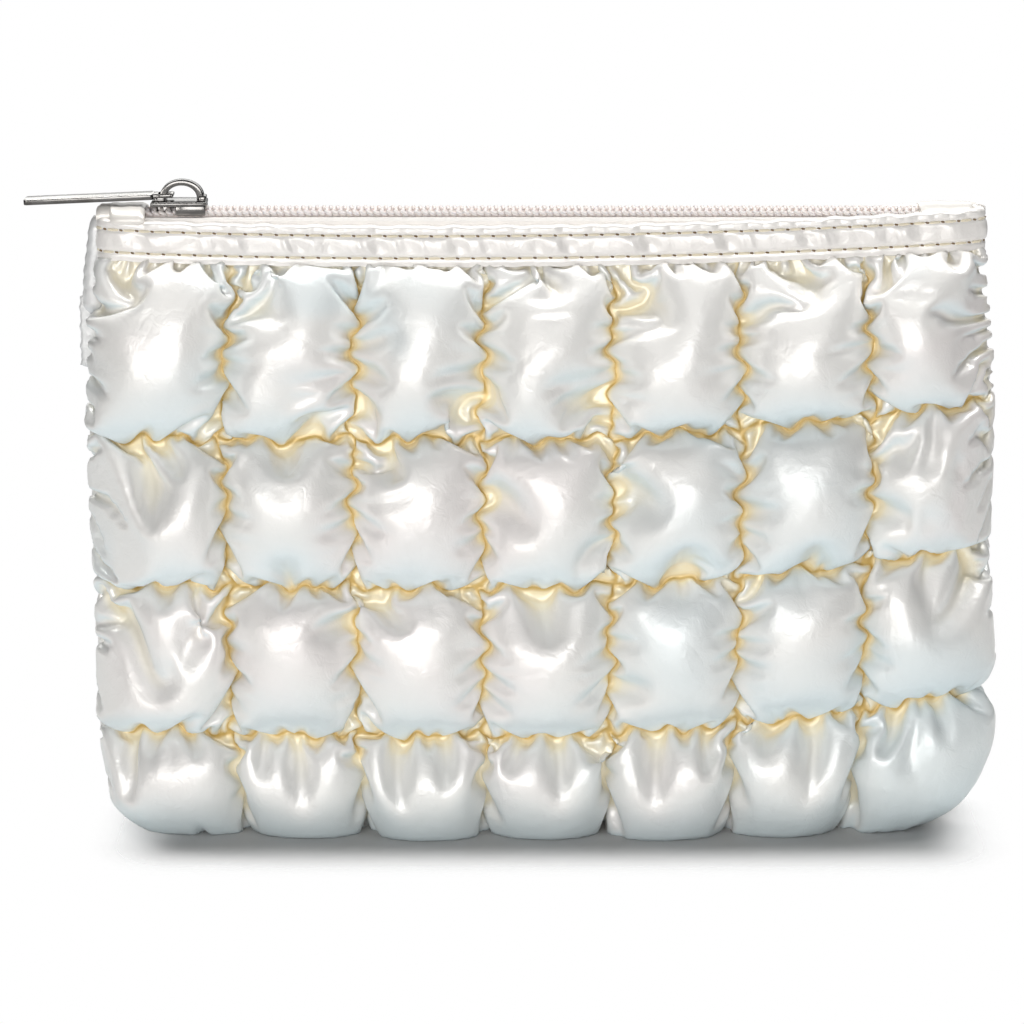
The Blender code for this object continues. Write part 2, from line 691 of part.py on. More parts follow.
def build_slider(material, parent):
    """The slider: two plates, the wedge between them and the bail, cast in one."""
    slider = add_object("slider", upper_plate_shape(), material, parent)
    lower_top = CHAIN_BOTTOM - 2 * CLEARANCE - TAPE_THICK
    lower = bmesh.new()
    soft = PLATE * PLATE_SOFT_SHARE
    add_block(lower, (SLIDER_LEFT + soft, -LOWER_PLATE_HALF_WIDTH, lower_top - PLATE),
              (SLIDER_RIGHT - soft, LOWER_PLATE_HALF_WIDTH, lower_top))
    combine(slider, add_object("lower_plate_shape", lower, None, parent), "UNION")
    wedge = bmesh.new()
    half = TAPE_INNER - CLEARANCE
    add_block(wedge, (SLIDER_LEFT + 2 * soft, -half, lower_top - PLATE / 2),
              (SLIDER_LEFT + WEDGE_LENGTH, half, plate_top() - PLATE / 2))
    combine(slider, add_object("wedge_shape", wedge, None, parent), "UNION")
    combine(slider, build_bail(parent), "UNION")
    return slider


def eye_window():
    """How far the eye's opening reaches from its cross bar, to clear the bail's outside."""
    bail_out = BAIL_HALF_SPAN - EYE_RADIUS * math.cos(EYE_ANGLE)
    return bail_out + CLEARANCE + EYE_BAR * EYE_SLACK_SHARE


def build_puller(material, axis):
    """The puller: a flat bar and a thinner eye whose cross bar runs inside the bail."""
    holder = add_empty("puller_tilt", (0.0, 0.0, 0.0), axis)
    centre = Vector((-EYE_RADIUS * math.cos(EYE_ANGLE), 0.0, EYE_RADIUS * math.sin(EYE_ANGLE)))
    holder.location = centre
    holder.rotation_euler = (0.0, -PULLER_TILT, 0.0)
    arm_in = BAIL_WIDTH / 2 + CLEARANCE
    arm_out = arm_in + EYE_ARM
    window = eye_window()
    bar_end = -(window + NECK_LENGTH)
    bar = bmesh.new()
    add_block(bar, (bar_end - BAR_LENGTH, -BAR_WIDTH / 2, -BAR_THICK / 2),
              (bar_end, BAR_WIDTH / 2, BAR_THICK / 2))
    upright = [edge for edge in bar.edges
               if abs(edge.verts[0].co.z - edge.verts[1].co.z) > BAR_THICK / 2]
    bmesh.ops.bevel(bar, geom=upright, offset=BAR_CORNER, segments=3, profile=0.5, affect="EDGES")
    rim = [edge for edge in bar.edges if abs(edge.verts[0].co.z - edge.verts[1].co.z) < BAR_EDGE]
    bmesh.ops.bevel(bar, geom=rim, offset=BAR_EDGE, segments=2, profile=0.5, affect="EDGES")
    puller = add_object("puller", bar, material, holder)
    eye = bmesh.new()
    add_block(eye, (bar_end - BAR_CORNER, -arm_out, -EYE_THICK / 2), (EYE_BAR / 2, arm_out, EYE_THICK / 2))
    long_edges = [edge for edge in eye.edges
                  if abs(edge.verts[0].co.y - edge.verts[1].co.y) > arm_out and edge.verts[0].co.x > 0.0]
    soft = EYE_THICK * EYE_SOFT_SHARE
    bmesh.ops.bevel(eye, geom=long_edges, offset=soft, segments=1, profile=0.5, affect="EDGES")
    eye_shape = add_object("eye_shape", eye, None, holder)
    opening = bmesh.new()
    add_block(opening, (-window, -arm_in, -EYE_THICK), (-EYE_BAR / 2, arm_in, EYE_THICK))
    combine(eye_shape, add_object("eye_opening", opening, None, holder), "DIFFERENCE")
    combine(puller, eye_shape, "UNION")
    return puller


def build_side_loop(material, parent):
    """The folded loop that stands out of the left side seam."""
    sections = []
    for share in LOOP_STATIONS:
        z = LOOP_TOP - LOOP_HEIGHT * share
        seat = float(half_width(z)) + WALL + LOOP_SEAT
        reach = LOOP_REACH * (LOOP_END_SHARE if share in (0.0, 1.0) else 1.0)
        half = LOOP_HALF_THICK
        soft = half * LOOP_SOFT_SHARE
        ring = ((seat, -half), (seat, half), (seat + reach - half, half), (seat + reach, soft),
                (seat + reach, -soft), (seat + reach - half, -half))
        sections.append([Vector((-x, y, z)) for x, y in ring])
    mesh_data = bmesh.new()
    loft(mesh_data, sections)
    return add_object("side_tab", mesh_data, material, parent)


def puller_reach():
    """How far the puller's tip lies left of the pouch's middle."""
    length = eye_window() + NECK_LENGTH + BAR_LENGTH
    return -BAIL_X + EYE_RADIUS * math.cos(EYE_ANGLE) + length * math.cos(PULLER_TILT)


def main():
    """Build the pouch."""
    clear_scene()
    pearl = make_material("pearl_cloth", (0.93, 0.92, 0.90), 0.22, coat=0.6)
    tape = make_material("zipper_tape", (0.90, 0.84, 0.80), 0.75)
    coil = make_material("zipper_coil", (0.90, 0.82, 0.79), 0.45)
    nickel = make_material("dark_nickel", (0.42, 0.40, 0.38), 0.22, metallic=1.0)
    panel_reach = float(skin_points(FRONT_STEPS, FRONT_FOLDS)[1][..., 0].max())
    root = add_empty("pouch_root", ((puller_reach() - panel_reach) / 2, 0.0, 0.0))
    build_panel("front_panel", FRONT_STEPS, FRONT_FOLDS, 1.0, pearl, root)
    build_panel("back_panel", BACK_STEPS, (), -1.0, pearl, root)
    build_band("front_band", FRONT_STEPS, 1.0, pearl, root)
    build_band("back_band", BACK_STEPS, -1.0, pearl, root)
    build_tape("front_tape", 1.0, tape, root)
    build_tape("back_tape", -1.0, tape, root)
    build_chain(coil, root)
    build_end_tab("left_end_tab", -TAB_END, CHAIN_LEFT - CLEARANCE, pearl, root)
    build_end_tab("right_end_tab", CHAIN_RIGHT + CLEARANCE, TAB_END, pearl, root)
    build_side_loop(pearl, root)
    build_slider(nickel, root)
    axis = add_empty("puller_axis", (BAIL_X, 0.0, plate_top() + BAIL_LEG), root)
    build_puller(nickel, axis)


main()
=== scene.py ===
"""Looks of a quilted puffer pouch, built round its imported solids.

The padded walls are inflated by a cloth simulation on a flat grid and then laid round the lining's
form. The band, zipper, slider and puller are modelled over the solids that they stand for.
"""

from __future__ import annotations

import json
import logging
import math
from collections.abc import Callable
from dataclasses import dataclass
from enum import Enum

import bpy
import numpy as np
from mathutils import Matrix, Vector

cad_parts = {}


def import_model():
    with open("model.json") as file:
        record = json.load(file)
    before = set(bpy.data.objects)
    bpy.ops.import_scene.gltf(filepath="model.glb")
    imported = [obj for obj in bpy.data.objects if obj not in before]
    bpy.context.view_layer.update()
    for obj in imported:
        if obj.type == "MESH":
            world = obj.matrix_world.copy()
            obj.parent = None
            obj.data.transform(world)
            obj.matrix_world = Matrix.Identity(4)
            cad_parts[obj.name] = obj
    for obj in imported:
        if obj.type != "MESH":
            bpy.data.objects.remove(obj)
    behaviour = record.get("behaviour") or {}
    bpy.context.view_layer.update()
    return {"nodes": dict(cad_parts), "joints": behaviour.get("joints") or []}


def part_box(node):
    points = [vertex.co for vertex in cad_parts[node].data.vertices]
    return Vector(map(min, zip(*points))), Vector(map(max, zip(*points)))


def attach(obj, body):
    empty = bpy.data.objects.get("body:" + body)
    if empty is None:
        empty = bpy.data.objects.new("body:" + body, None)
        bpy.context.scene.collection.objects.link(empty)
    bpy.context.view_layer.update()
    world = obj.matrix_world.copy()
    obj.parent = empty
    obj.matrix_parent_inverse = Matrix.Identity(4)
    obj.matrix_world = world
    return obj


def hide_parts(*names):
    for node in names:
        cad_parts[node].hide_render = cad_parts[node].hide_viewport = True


LOG = logging.getLogger("pouch")
MM = 0.001

Triple = tuple[float, float, float]
Piece = bpy.types.Object
Finish = bpy.types.Material
Socket = bpy.types.NodeSocket
Groups = dict[str, bpy.types.NodeTree]


def running(steps: np.ndarray) -> np.ndarray:
    """Return the length reached after each step along a curve, from 0.

    Args:
        steps: Lengths of the steps.

    Returns:
        One more length than there are steps.
    """
    return np.concatenate(([0.0], np.cumsum(steps)))


def walk(curve: np.ndarray) -> np.ndarray:
    """Return how far along a curve each of its points lies.

    Args:
        curve: The curve's points, one row each.

    Returns:
        One length for each point.
    """
    return running(np.linalg.norm(np.diff(curve, axis=0), axis=1))


def fine_places() -> np.ndarray:
    """Return many places from -1 to 1, closest together at the ends."""
    return np.sin(np.linspace(-0.5, 0.5, 4001) * math.pi)


def ring_angles(count: int) -> np.ndarray:
    """Return evenly spread angles once round a ring."""
    return np.linspace(0.0, 2.0 * math.pi, count, endpoint=False)


def soft_power(wave: np.ndarray, power: float) -> np.ndarray:
    """Return a wave raised to a power with its sign kept, which squares off a round section.

    Args:
        wave: Sines or cosines.
        power: 1 leaves them as they are, less makes them squarer.

    Returns:
        The changed wave.
    """
    return np.sign(wave) * np.abs(wave) ** power


class Side(Enum):
    """Which wall of the pouch a piece belongs to, with its sign along Y."""

    FRONT = -1.0
    BACK = 1.0

    @property
    def label(self) -> str:
        """Return the word that the solids' names start with."""
        return self.name.lower()


@dataclass(frozen=True)
class PouchForm:
    """Form of the lining that the padding is quilted to, as in the solids. Lengths in metres."""

    centre_x: float
    half_width: float = 0.0979
    half_depth: float = 0.0144
    seam_height: float = 0.0029
    base_top: float = 0.0270
    taper_start: float = 0.0580
    panel_top: float = 0.1325
    mouth_half_depth: float = 0.0052
    corner_drop: float = 0.0085
    belly_height: float = 0.0880
    belly_drop: float = 0.0036
    mouth_drop: float = 0.0043
    side_power: float = 3.0
    mouth_power: float = 7.0
    base_power: float = 2.3
    taper_power: float = 1.8
    right_rise: float = 0.0085
    rim_sag: float = 0.0019
    rim_curve: float = 0.0022
    rim_low: float = -0.25
    band_bottom: float = 0.1286
    band_top: float = 0.1370

    def taper_share(self, height: np.ndarray) -> np.ndarray:
        """Return the share of the way from the taper's start to the panel's top."""
        return np.clip((height - self.taper_start) / (self.panel_top - self.taper_start), 0.0, 1.0)

    def base_curve(self, height: np.ndarray) -> np.ndarray:
        """Return 0 at the bottom seam, rising to 1 where the rounded base ends."""
        share = np.clip((self.base_top - height) / (self.base_top - self.seam_height), 0.0, 1.0)
        return (1.0 - share ** self.base_power) ** (1.0 / self.base_power)

    def depth_at(self, height: np.ndarray) -> np.ndarray:
        """Return the lining's half depth in the middle of the pouch."""
        taper = (self.half_depth - self.mouth_half_depth) * self.taper_share(height) ** self.taper_power
        return self.half_depth * self.base_curve(height) - taper

    def width_at(self, height: np.ndarray) -> np.ndarray:
        """Return the lining's half width.

        Args:
            height: Heights on the pouch, in metres.

        Returns:
            Half widths in metres.
        """
        below = np.maximum(1.0 - height / self.belly_height, 0.0)
        corner = self.corner_drop * (1.0 - self.base_curve(height))
        mouth = self.mouth_drop * self.taper_share(height) ** 3
        return self.half_width - corner - self.belly_drop * below - mouth

    def depth_share(self, across: np.ndarray, height: np.ndarray) -> np.ndarray:
        """Return the share of the half depth left at a place across, from -1 to 1."""
        power = self.side_power + (self.mouth_power - self.side_power) * self.taper_share(height)
        return (1.0 - np.minimum(np.abs(across), 1.0) ** power) ** (1.0 / power)

    def rim_offset(self, across: np.ndarray) -> np.ndarray:
        """Return how far the mouth lies above or below its nominal height."""
        return self.rim_curve * (across - self.rim_low) ** 2 - self.rim_sag

    def mouth(self, across: np.ndarray, height: float, offset: float) -> np.ndarray:
        """Return points outside the lining's plan curve near the mouth.

        Args:
            across: Places across, from -1 to 1.
            height: Nominal height before the rim's sag.
            offset: Distance outside the lining.

        Returns:
            Points of the front wall, one row each.
        """
        across = np.asarray(across, dtype=float)
        step = 1e-4
        near = np.maximum(across - step, -1.0)
        far = np.minimum(across + step, 1.0)
        width = self.width_at(height)
        depth = self.depth_at(min(height, self.panel_top))
        run_x = (far - near) * width
        run_y = -depth * (self.depth_share(far, height) - self.depth_share(near, height))
        length = np.hypot(run_x, run_y)
        x = across * width + offset * run_y / length
        y = -depth * self.depth_share(across, height) - offset * run_x / length
        z = height + self.rim_offset(across)
        return np.stack((x + self.centre_x, np.minimum(y, 0.0), z), axis=-1)


@dataclass(frozen=True)
class Fold:
    """A crease or dent in one puff. Rows count from the top, columns from the left.

    Places run from 0 to 1 across and up the puff; pull is in units of the padding's pressure and
    reach is the half width of the crease as a share of the puff.
    """

    row: int
    column: int
    start: tuple[float, float]
    end: tuple[float, float]
    pull: float
    reach: float


FRONT_CREASES = (
    (1, 1, 0.15, 0.95, 0.60, 0.45, 2.2, 0.050), (1, 1, 0.05, 0.60, 0.35, 0.80, 2.0, 0.060),
    (1, 2, 0.06, 0.88, 0.40, 0.60, 3.4, 0.070), (1, 2, 0.72, 0.10, 0.50, 0.34, 2.4, 0.080),
    (1, 3, 0.12, 0.15, 0.22, 0.75, 2.8, 0.060), (1, 3, 0.98, 0.05, 0.68, 0.34, 3.2, 0.080),
    (1, 4, 0.48, 0.98, 0.52, 0.66, 3.0, 0.100), (1, 4, 0.98, 0.10, 0.60, 0.36, 3.2, 0.080),
    (1, 4, 0.10, 0.20, 0.14, 0.70, 2.2, 0.060), (1, 5, 0.05, 0.95, 0.42, 0.56, 3.4, 0.090),
    (1, 6, 0.50, 0.99, 0.50, 0.66, 3.0, 0.120), (1, 6, 0.10, 0.60, 0.28, 0.72, 2.2, 0.060),
    (1, 7, 0.03, 0.88, 0.85, 0.42, 2.6, 0.055), (2, 1, 0.50, 0.99, 0.46, 0.60, 3.0, 0.080),
    (2, 1, 0.74, 0.96, 0.50, 0.62, 2.6, 0.060), (2, 2, 0.52, 0.99, 0.48, 0.68, 3.0, 0.090),
    (2, 2, 0.45, 0.02, 0.50, 0.22, 3.0, 0.080), (2, 3, 0.22, 0.98, 0.40, 0.64, 3.0, 0.080),
    (2, 4, 0.02, 0.70, 0.36, 0.44, 3.2, 0.080), (2, 4, 0.85, 0.35, 0.60, 0.18, 2.0, 0.050),
    (2, 5, 0.02, 0.76, 0.34, 0.48, 3.2, 0.080), (2, 5, 0.55, 0.02, 0.55, 0.26, 3.2, 0.110),
    (2, 6, 0.06, 0.85, 0.14, 0.25, 2.4, 0.060), (2, 6, 0.60, 0.02, 0.52, 0.20, 2.6, 0.090),
    (2, 7, 0.02, 0.82, 0.58, 0.60, 3.2, 0.060), (2, 7, 0.02, 0.40, 0.50, 0.34, 2.8, 0.060),
    (3, 1, 0.20, 0.92, 0.52, 0.40, 3.2, 0.070), (3, 1, 0.92, 0.92, 0.56, 0.44, 2.8, 0.070),
    (3, 2, 0.98, 0.75, 0.70, 0.68, 2.4, 0.060), (3, 3, 0.20, 0.96, 0.58, 0.56, 2.8, 0.060),
    (3, 4, 0.44, 0.98, 0.54, 0.64, 3.2, 0.090), (3, 5, 0.04, 0.30, 0.26, 0.40, 2.2, 0.060),
    (3, 6, 0.10, 0.90, 0.30, 0.72, 2.2, 0.060), (3, 7, 0.90, 0.98, 0.50, 0.56, 3.2, 0.070),
    (3, 7, 0.40, 0.98, 0.46, 0.60, 2.6, 0.060), (4, 1, 0.30, 0.98, 0.36, 0.66, 3.0, 0.070),
    (4, 2, 0.55, 0.98, 0.52, 0.64, 3.0, 0.080), (4, 2, 0.25, 0.98, 0.28, 0.74, 2.4, 0.060),
    (4, 3, 0.32, 0.98, 0.36, 0.62, 3.0, 0.080), (4, 3, 0.70, 0.98, 0.66, 0.72, 2.4, 0.060),
    (4, 4, 0.60, 0.98, 0.58, 0.66, 2.8, 0.070), (4, 4, 0.24, 0.98, 0.26, 0.76, 2.4, 0.060),
    (4, 5, 0.38, 0.98, 0.40, 0.64, 3.0, 0.080), (4, 5, 0.76, 0.98, 0.72, 0.72, 2.4, 0.060),
    (4, 6, 0.62, 0.98, 0.58, 0.62, 3.0, 0.080), (4, 6, 0.24, 0.98, 0.28, 0.74, 2.4, 0.060),
    (4, 7, 0.20, 0.96, 0.50, 0.50, 3.0, 0.060),
)
FRONT_FOLDS = tuple(Fold(row, column, tuple(places[:2]), tuple(places[2:]), pull, reach)
                    for row, column, *places, pull, reach in FRONT_CREASES)

BACK_FOLDS = tuple(
    Fold(row, column, (0.2 + 0.5 * ((row * 5 + column * 3) % 4) / 3.0, 0.98), (0.5, 0.62), 2.8, 0.07)
    for row in range(1, 5) for column in range(1, 8))


@dataclass(frozen=True)
class Quilt:
    """How the wall is quilted and padded. Lengths in millimetres, seams as shares of the form."""

    columns: int = 7
    first_seam: float = -0.711
    pitch: float = 0.2895
    row_seams: tuple[float, ...] = (0.164, 0.430, 0.689)
    lines_across: int = 30
    lines_up: tuple[int, ...] = (26, 30, 30, 36)
    fullness: float = 1.27
    extra_low: float = 0.05
    fullness_spread: float = 0.04
    gather: float = 0.30
    gather_depth: float = 4.5
    wander: float = 0.85
    hidden: float = 1.6
    foot_lift: float = 2.6
    mouth_lift: float = 1.0
    room_left: tuple[float, ...] = (3.4, 3.2, 2.2, 1.9, 2.6)
    room_right: tuple[float, ...] = (7.0, 5.2, 2.4, 1.3, 1.3)
    wander_waves: tuple[tuple[float, float], ...] = ((8.2, 0.9), (5.4, 0.5), (19.0, 0.6))
    normal_reach: float = 0.6
    seam_margin: float = 0.03
    growth: float = 0.045
    drag: float = 0.94
    slant_hold: float = 0.35
    bend_hold: float = 0.10
    fold_fade: float = 0.55

    @property
    def rows(self) -> int:
        """Return the number of rows of puffs."""
        return len(self.row_seams) + 1

    def column_seams(self) -> np.ndarray:
        """Return the places across of all column seams, both side seams included."""
        inner = self.first_seam + self.pitch * np.arange(self.columns - 1)
        return np.concatenate(([-1.0], inner, [1.0]))


@dataclass(frozen=True)
class SeamShade:
    """How the painted shade of a seam follows the depth of the cloth. Lengths in millimetres."""

    rounds: int = 14
    edge_gain: float = 2.2
    sink: float = 2.8
    near: float = 1.7
    # thread: width of the darkest painted shade along the sewn line
    thread: float = 0.22
    mouth_fade: float = 0.45
    mouth_reach: float = 3.5
    spread_share: float = 0.60
    edge_share: float = 0.65
    line_share: float = 0.40


class QuiltMap:
    """Lays flat places of the quilt, in millimetres, round the pouch's form."""

    def __init__(self, form: PouchForm, quilt: Quilt) -> None:
        """Measure the form's arcs along the middle section and up the middle profile.

        Args:
            form: Form of the lining.
            quilt: How the wall is quilted.
        """
        self.form = form
        self.quilt = quilt
        fine = fine_places()
        x = fine * form.half_width
        y = form.half_depth * form.depth_share(fine, np.full_like(fine, form.taper_start))
        self.across_arc = running(np.hypot(np.diff(x), np.diff(y))) / MM
        self.across_fine = fine
        low = form.seam_height + (form.base_top - form.seam_height) * np.linspace(0.0, 1.0, 1500) ** 3
        high = np.linspace(form.base_top, form.panel_top, 1500)[1:]
        self.height_fine = np.concatenate((low, high))
        depth = form.depth_at(self.height_fine)
        steps = np.hypot(np.diff(self.height_fine), np.diff(depth))
        self.up_arc = running(steps) / MM
        self.column_marks = np.interp(quilt.column_seams(), fine, self.across_arc)
        tall = form.band_bottom - form.seam_height
        self.seam_heights = np.array([form.seam_height, *(form.seam_height + tall * share
                                                          for share in quilt.row_seams), form.band_bottom])
        self.row_marks = np.interp(self.seam_heights, self.height_fine, self.up_arc)
        self.top_mark = self.up_arc[-1]

    def lining(self, u: np.ndarray, v: np.ndarray) -> np.ndarray:
        """Return the front lining's points for flat places, in metres.

        Args:
            u: Places along the width.
            v: Places up the wall.

        Returns:
            Points with one more axis, of length 3.
        """
        form = self.form
        u = np.clip(u, 0.0, self.across_arc[-1])
        v = np.clip(v, 0.0, self.top_mark)
        height = np.interp(v, self.up_arc, self.height_fine)
        depth = form.depth_at(height)
        by_arc = np.interp(u, self.across_arc, self.across_fine)
        by_line = np.interp(u, self.column_marks, self.quilt.column_seams())
        round_share = np.clip(depth / form.half_depth, 0.0, 1.0)
        across = by_line + (by_arc - by_line) * round_share
        share = form.depth_share(across, height)
        side_height = np.interp(v, self.row_marks, self.seam_heights)
        z = height * share + side_height * (1.0 - share)
        line = np.interp(v, self.row_marks, np.arange(len(self.row_marks)))
        mouth = np.clip(line - (self.quilt.rows - 1), 0.0, 1.0)
        mouth = mouth * mouth * (3.0 - 2.0 * mouth)
        body = np.clip(line, 0.0, 1.0) * (1.0 - mouth)
        z = z + form.right_rise * np.clip(across, 0.0, 1.0) ** 1.5 * body + form.rim_offset(across) * mouth
        x = across * form.width_at(height)
        return np.stack((x + form.centre_x, -depth * share, z), axis=-1)

    def place(self, u: np.ndarray, v: np.ndarray, rise: np.ndarray) -> np.ndarray:
        """Return points that stand a rise, in millimetres, out of the lining.

        Args:
            u: Places along the width.
            v: Places up the wall.
            rise: Distances out of the lining.

        Returns:
            Points in metres, with the same leading shape.
        """
        reach = self.quilt.normal_reach
        wide = self.across_arc[-1]
        left = self.lining(np.clip(u - reach, 0.0, wide - 2 * reach), v)
        right = self.lining(np.clip(u + reach, 2 * reach, wide), v)
        low = self.lining(u, np.clip(v - reach, 0.0, self.top_mark - 2 * reach))
        high = self.lining(u, np.clip(v + reach, 2 * reach, self.top_mark))
        normal = np.cross(right - left, high - low)
        normal /= np.maximum(np.linalg.norm(normal, axis=-1, keepdims=True), 1e-12)
        return self.lining(u, v) + normal * (rise * MM)[..., None]


class PuffCloth:
    """Cloth of one quilted wall, inflated on the flat with its seams sewn down. In millimetres."""

    def __init__(self, quilt_map: QuiltMap, folds: tuple[Fold, ...], seed: int) -> None:
        """Lay the slack cloth on its seams.

        Args:
            quilt_map: Gives the seams' flat places.
            folds: Creases that pull the puffs in.
            seed: Seed of the wandering seams and uneven fullness.
        """
        self.map = quilt_map
        self.quilt = quilt_map.quilt
        self.random = np.random.default_rng(seed)
        self.lines = self.quilt.columns * self.quilt.lines_across + 1
        self.levels = sum(self.quilt.lines_up) + 1
        self.column_lines = np.arange(self.quilt.columns + 1) * self.quilt.lines_across
        self.row_levels = np.concatenate(([0], np.cumsum(self.quilt.lines_up)))
        self.flat_u, self.flat_v = self._flat_places()
        self._sew_seams()
        self._measure_cloth()
        self.pressure = self._pressure(folds)

    def _flat_places(self) -> tuple[np.ndarray, np.ndarray]:
        """Return the grid's places before the seams wander.

        Returns:
            The places along the width and up the wall.
        """
        marks = self.map.row_marks.copy()
        marks[-1] += self.quilt.hidden
        u = np.interp(np.arange(self.lines), self.column_lines, self.map.column_marks)
        v = np.interp(np.arange(self.levels), self.row_levels, marks)
        return np.meshgrid(u, v)

    def _wander(self, count: int, along: np.ndarray) -> np.ndarray:
        """Return how far each of several seams strays, one row each.

        Args:
            count: Number of seams.
            along: Places along the seams.

        Returns:
            Offsets, with the outermost seams straight.
        """
        offsets = np.zeros((count, len(along)))
        for seam in range(1, count - 1):
            for length, share in self.quilt.wander_waves:
                phase = self.random.uniform(0.0, 2.0 * math.pi)
                stretch = self.random.uniform(0.85, 1.15)
                wave = np.sin(2.0 * math.pi * along / (length * stretch) + phase)
                offsets[seam] += share * wave * self.quilt.wander
        return offsets

    def _sew_seams(self) -> None:
        """Set the seams' places, the start of the cloth and each puff's limits."""
        column_wander = self._wander(self.quilt.columns + 1, self.flat_v[:, 0])
        row_wander = self._wander(self.quilt.rows + 1, self.flat_u[0])
        seam_u = self.map.column_marks[:, None] + column_wander
        marks = self.map.row_marks.copy()
        marks[-1] += self.quilt.hidden
        seam_v = marks[:, None] + row_wander
        level = np.arange(self.levels)
        line = np.arange(self.lines)
        self.low_u = np.empty((self.levels, self.lines))
        self.high_u = np.empty_like(self.low_u)
        self.low_v = np.empty_like(self.low_u)
        self.high_v = np.empty_like(self.low_u)
        u = np.empty_like(self.low_u)
        v = np.empty_like(self.low_u)
        for column in range(self.quilt.columns):
            first, last = self.column_lines[column], self.column_lines[column + 1]
            share = (line[first:last + 1] - first) / (last - first)
            u[:, first:last + 1] = (seam_u[column][:, None] * (1.0 - share)
                                    + seam_u[column + 1][:, None] * share)
            self.low_u[:, first:last + 1] = seam_u[column][:, None]
            self.high_u[:, first:last + 1] = seam_u[column + 1][:, None]
        for row in range(self.quilt.rows):
            first, last = self.row_levels[row], self.row_levels[row + 1]
            share = ((level[first:last + 1] - first) / (last - first))[:, None]
            v[first:last + 1] = seam_v[row][None, :] * (1.0 - share) + seam_v[row + 1][None, :] * share
            self.low_v[first:last + 1] = seam_v[row][None, :]
            self.high_v[first:last + 1] = seam_v[row + 1][None, :]
        self.sewn = np.zeros((self.levels, self.lines), dtype=bool)
        self.sewn[:, self.column_lines] = True
        self.sewn[self.row_levels, :] = True
        foot_start, foot_end, foot_fade = 4.0, 24.0, 14.0
        foot = np.clip(v / foot_start, 0.0, 1.0) * np.clip((foot_end - v) / foot_fade, 0.0, 1.0)
        inner = np.zeros(self.lines)
        inner[self.column_lines[1:-1]] = self.quilt.foot_lift
        self.place = np.stack((u, v, foot * inner[None, :]), axis=-1)
        aside = np.abs(2.0 * self.flat_u[0] / self.map.across_arc[-1] - 1.0)
        self.place[-1, :, 2] = self.quilt.mouth_lift * (1.0 - aside ** 12)
        self.sewn_place = self.place[self.sewn]
        beside = self.map.lining(self.flat_u + 1.0, self.flat_v)
        beside -= self.map.lining(self.flat_u - 1.0, self.flat_v)
        self.sideways = np.abs(beside[..., 1]) / np.maximum(np.linalg.norm(beside, axis=-1), 1e-9)
        turned = self.flat_u < self.flat_u.mean()
        heights = np.interp(self.flat_v, self.map.row_marks, np.arange(len(self.map.row_marks)))
        room = np.where(turned, np.interp(heights, np.arange(5), self.quilt.room_left),
                        np.interp(heights, np.arange(5), self.quilt.room_right))
        self.ceiling = room / np.maximum(self.sideways, 0.02)

    def _measure_cloth(self) -> None:
        """Set the cloth's own lengths, longer than the lining by each puff's fullness."""
        spread = self.quilt.fullness_spread
        full = self.random.uniform(-spread, spread, (self.quilt.rows, self.quilt.columns))
        full += self.quilt.fullness
        full[0] += self.quilt.extra_low
        puff_row = np.repeat(np.arange(self.quilt.rows), self.quilt.lines_up)
        puff_column = np.repeat(np.arange(self.quilt.columns), self.quilt.lines_across)
        across = np.diff(self.flat_u[0])[None, :] * np.ones((self.levels, 1))
        up = np.diff(self.flat_v[:, 0])[:, None] * np.ones((1, self.lines))
        level_row = np.append(puff_row, self.quilt.rows - 1)
        line_column = np.append(puff_column, self.quilt.columns - 1)
        top = self.map.row_marks[-1]
        below = np.abs(top - self.flat_v[:, :-1])
        gather = 1.0 + self.quilt.gather * np.exp(-below / self.quilt.gather_depth)
        self.across_rest = across * full[level_row][:, puff_column] * gather
        self.up_rest = up * full[puff_row][:, line_column]

    def _pressure(self, folds: tuple[Fold, ...]) -> np.ndarray:
        """Return the padding's push at each point, lowered or turned inwards along the folds.

        Args:
            folds: Creases that pull the puffs in.

        Returns:
            The push, 1 where nothing pulls.
        """
        push = np.ones((self.levels, self.lines))
        for fold in folds:
            column = fold.column - 1
            row = self.quilt.rows - fold.row
            lines = slice(self.column_lines[column], self.column_lines[column + 1] + 1)
            levels = slice(self.row_levels[row], self.row_levels[row + 1] + 1)
            p = np.linspace(0.0, 1.0, self.quilt.lines_across + 1)[None, :]
            q = np.linspace(0.0, 1.0, self.quilt.lines_up[row] + 1)[:, None]
            run = np.array(fold.end) - np.array(fold.start)
            length = float(run @ run)
            along = ((p - fold.start[0]) * run[0] + (q - fold.start[1]) * run[1]) / length
            held = np.clip(along, 0.0, 1.0)
            gap = np.hypot(p - fold.start[0] - held * run[0], q - fold.start[1] - held * run[1])
            fade = 1.0 - self.quilt.fold_fade * held
            push[levels, lines] -= fold.pull * np.exp(-(gap / fold.reach) ** 2) * fade
        return push

    @staticmethod
    def _hold(one: np.ndarray, two: np.ndarray, rest: np.ndarray, share: float) -> None:
        """Pull pairs of points back to their cloth length, in place.

        Args:
            one: First points of the pairs.
            two: Second points.
            rest: Their cloth lengths.
            share: How much of the error is taken out.
        """
        gap = two - one
        length = np.sqrt(np.einsum("ijk,ijk->ij", gap, gap)) + 1e-9
        gap *= (0.5 * share * (length - rest) / length)[..., None]
        one += gap
        two -= gap

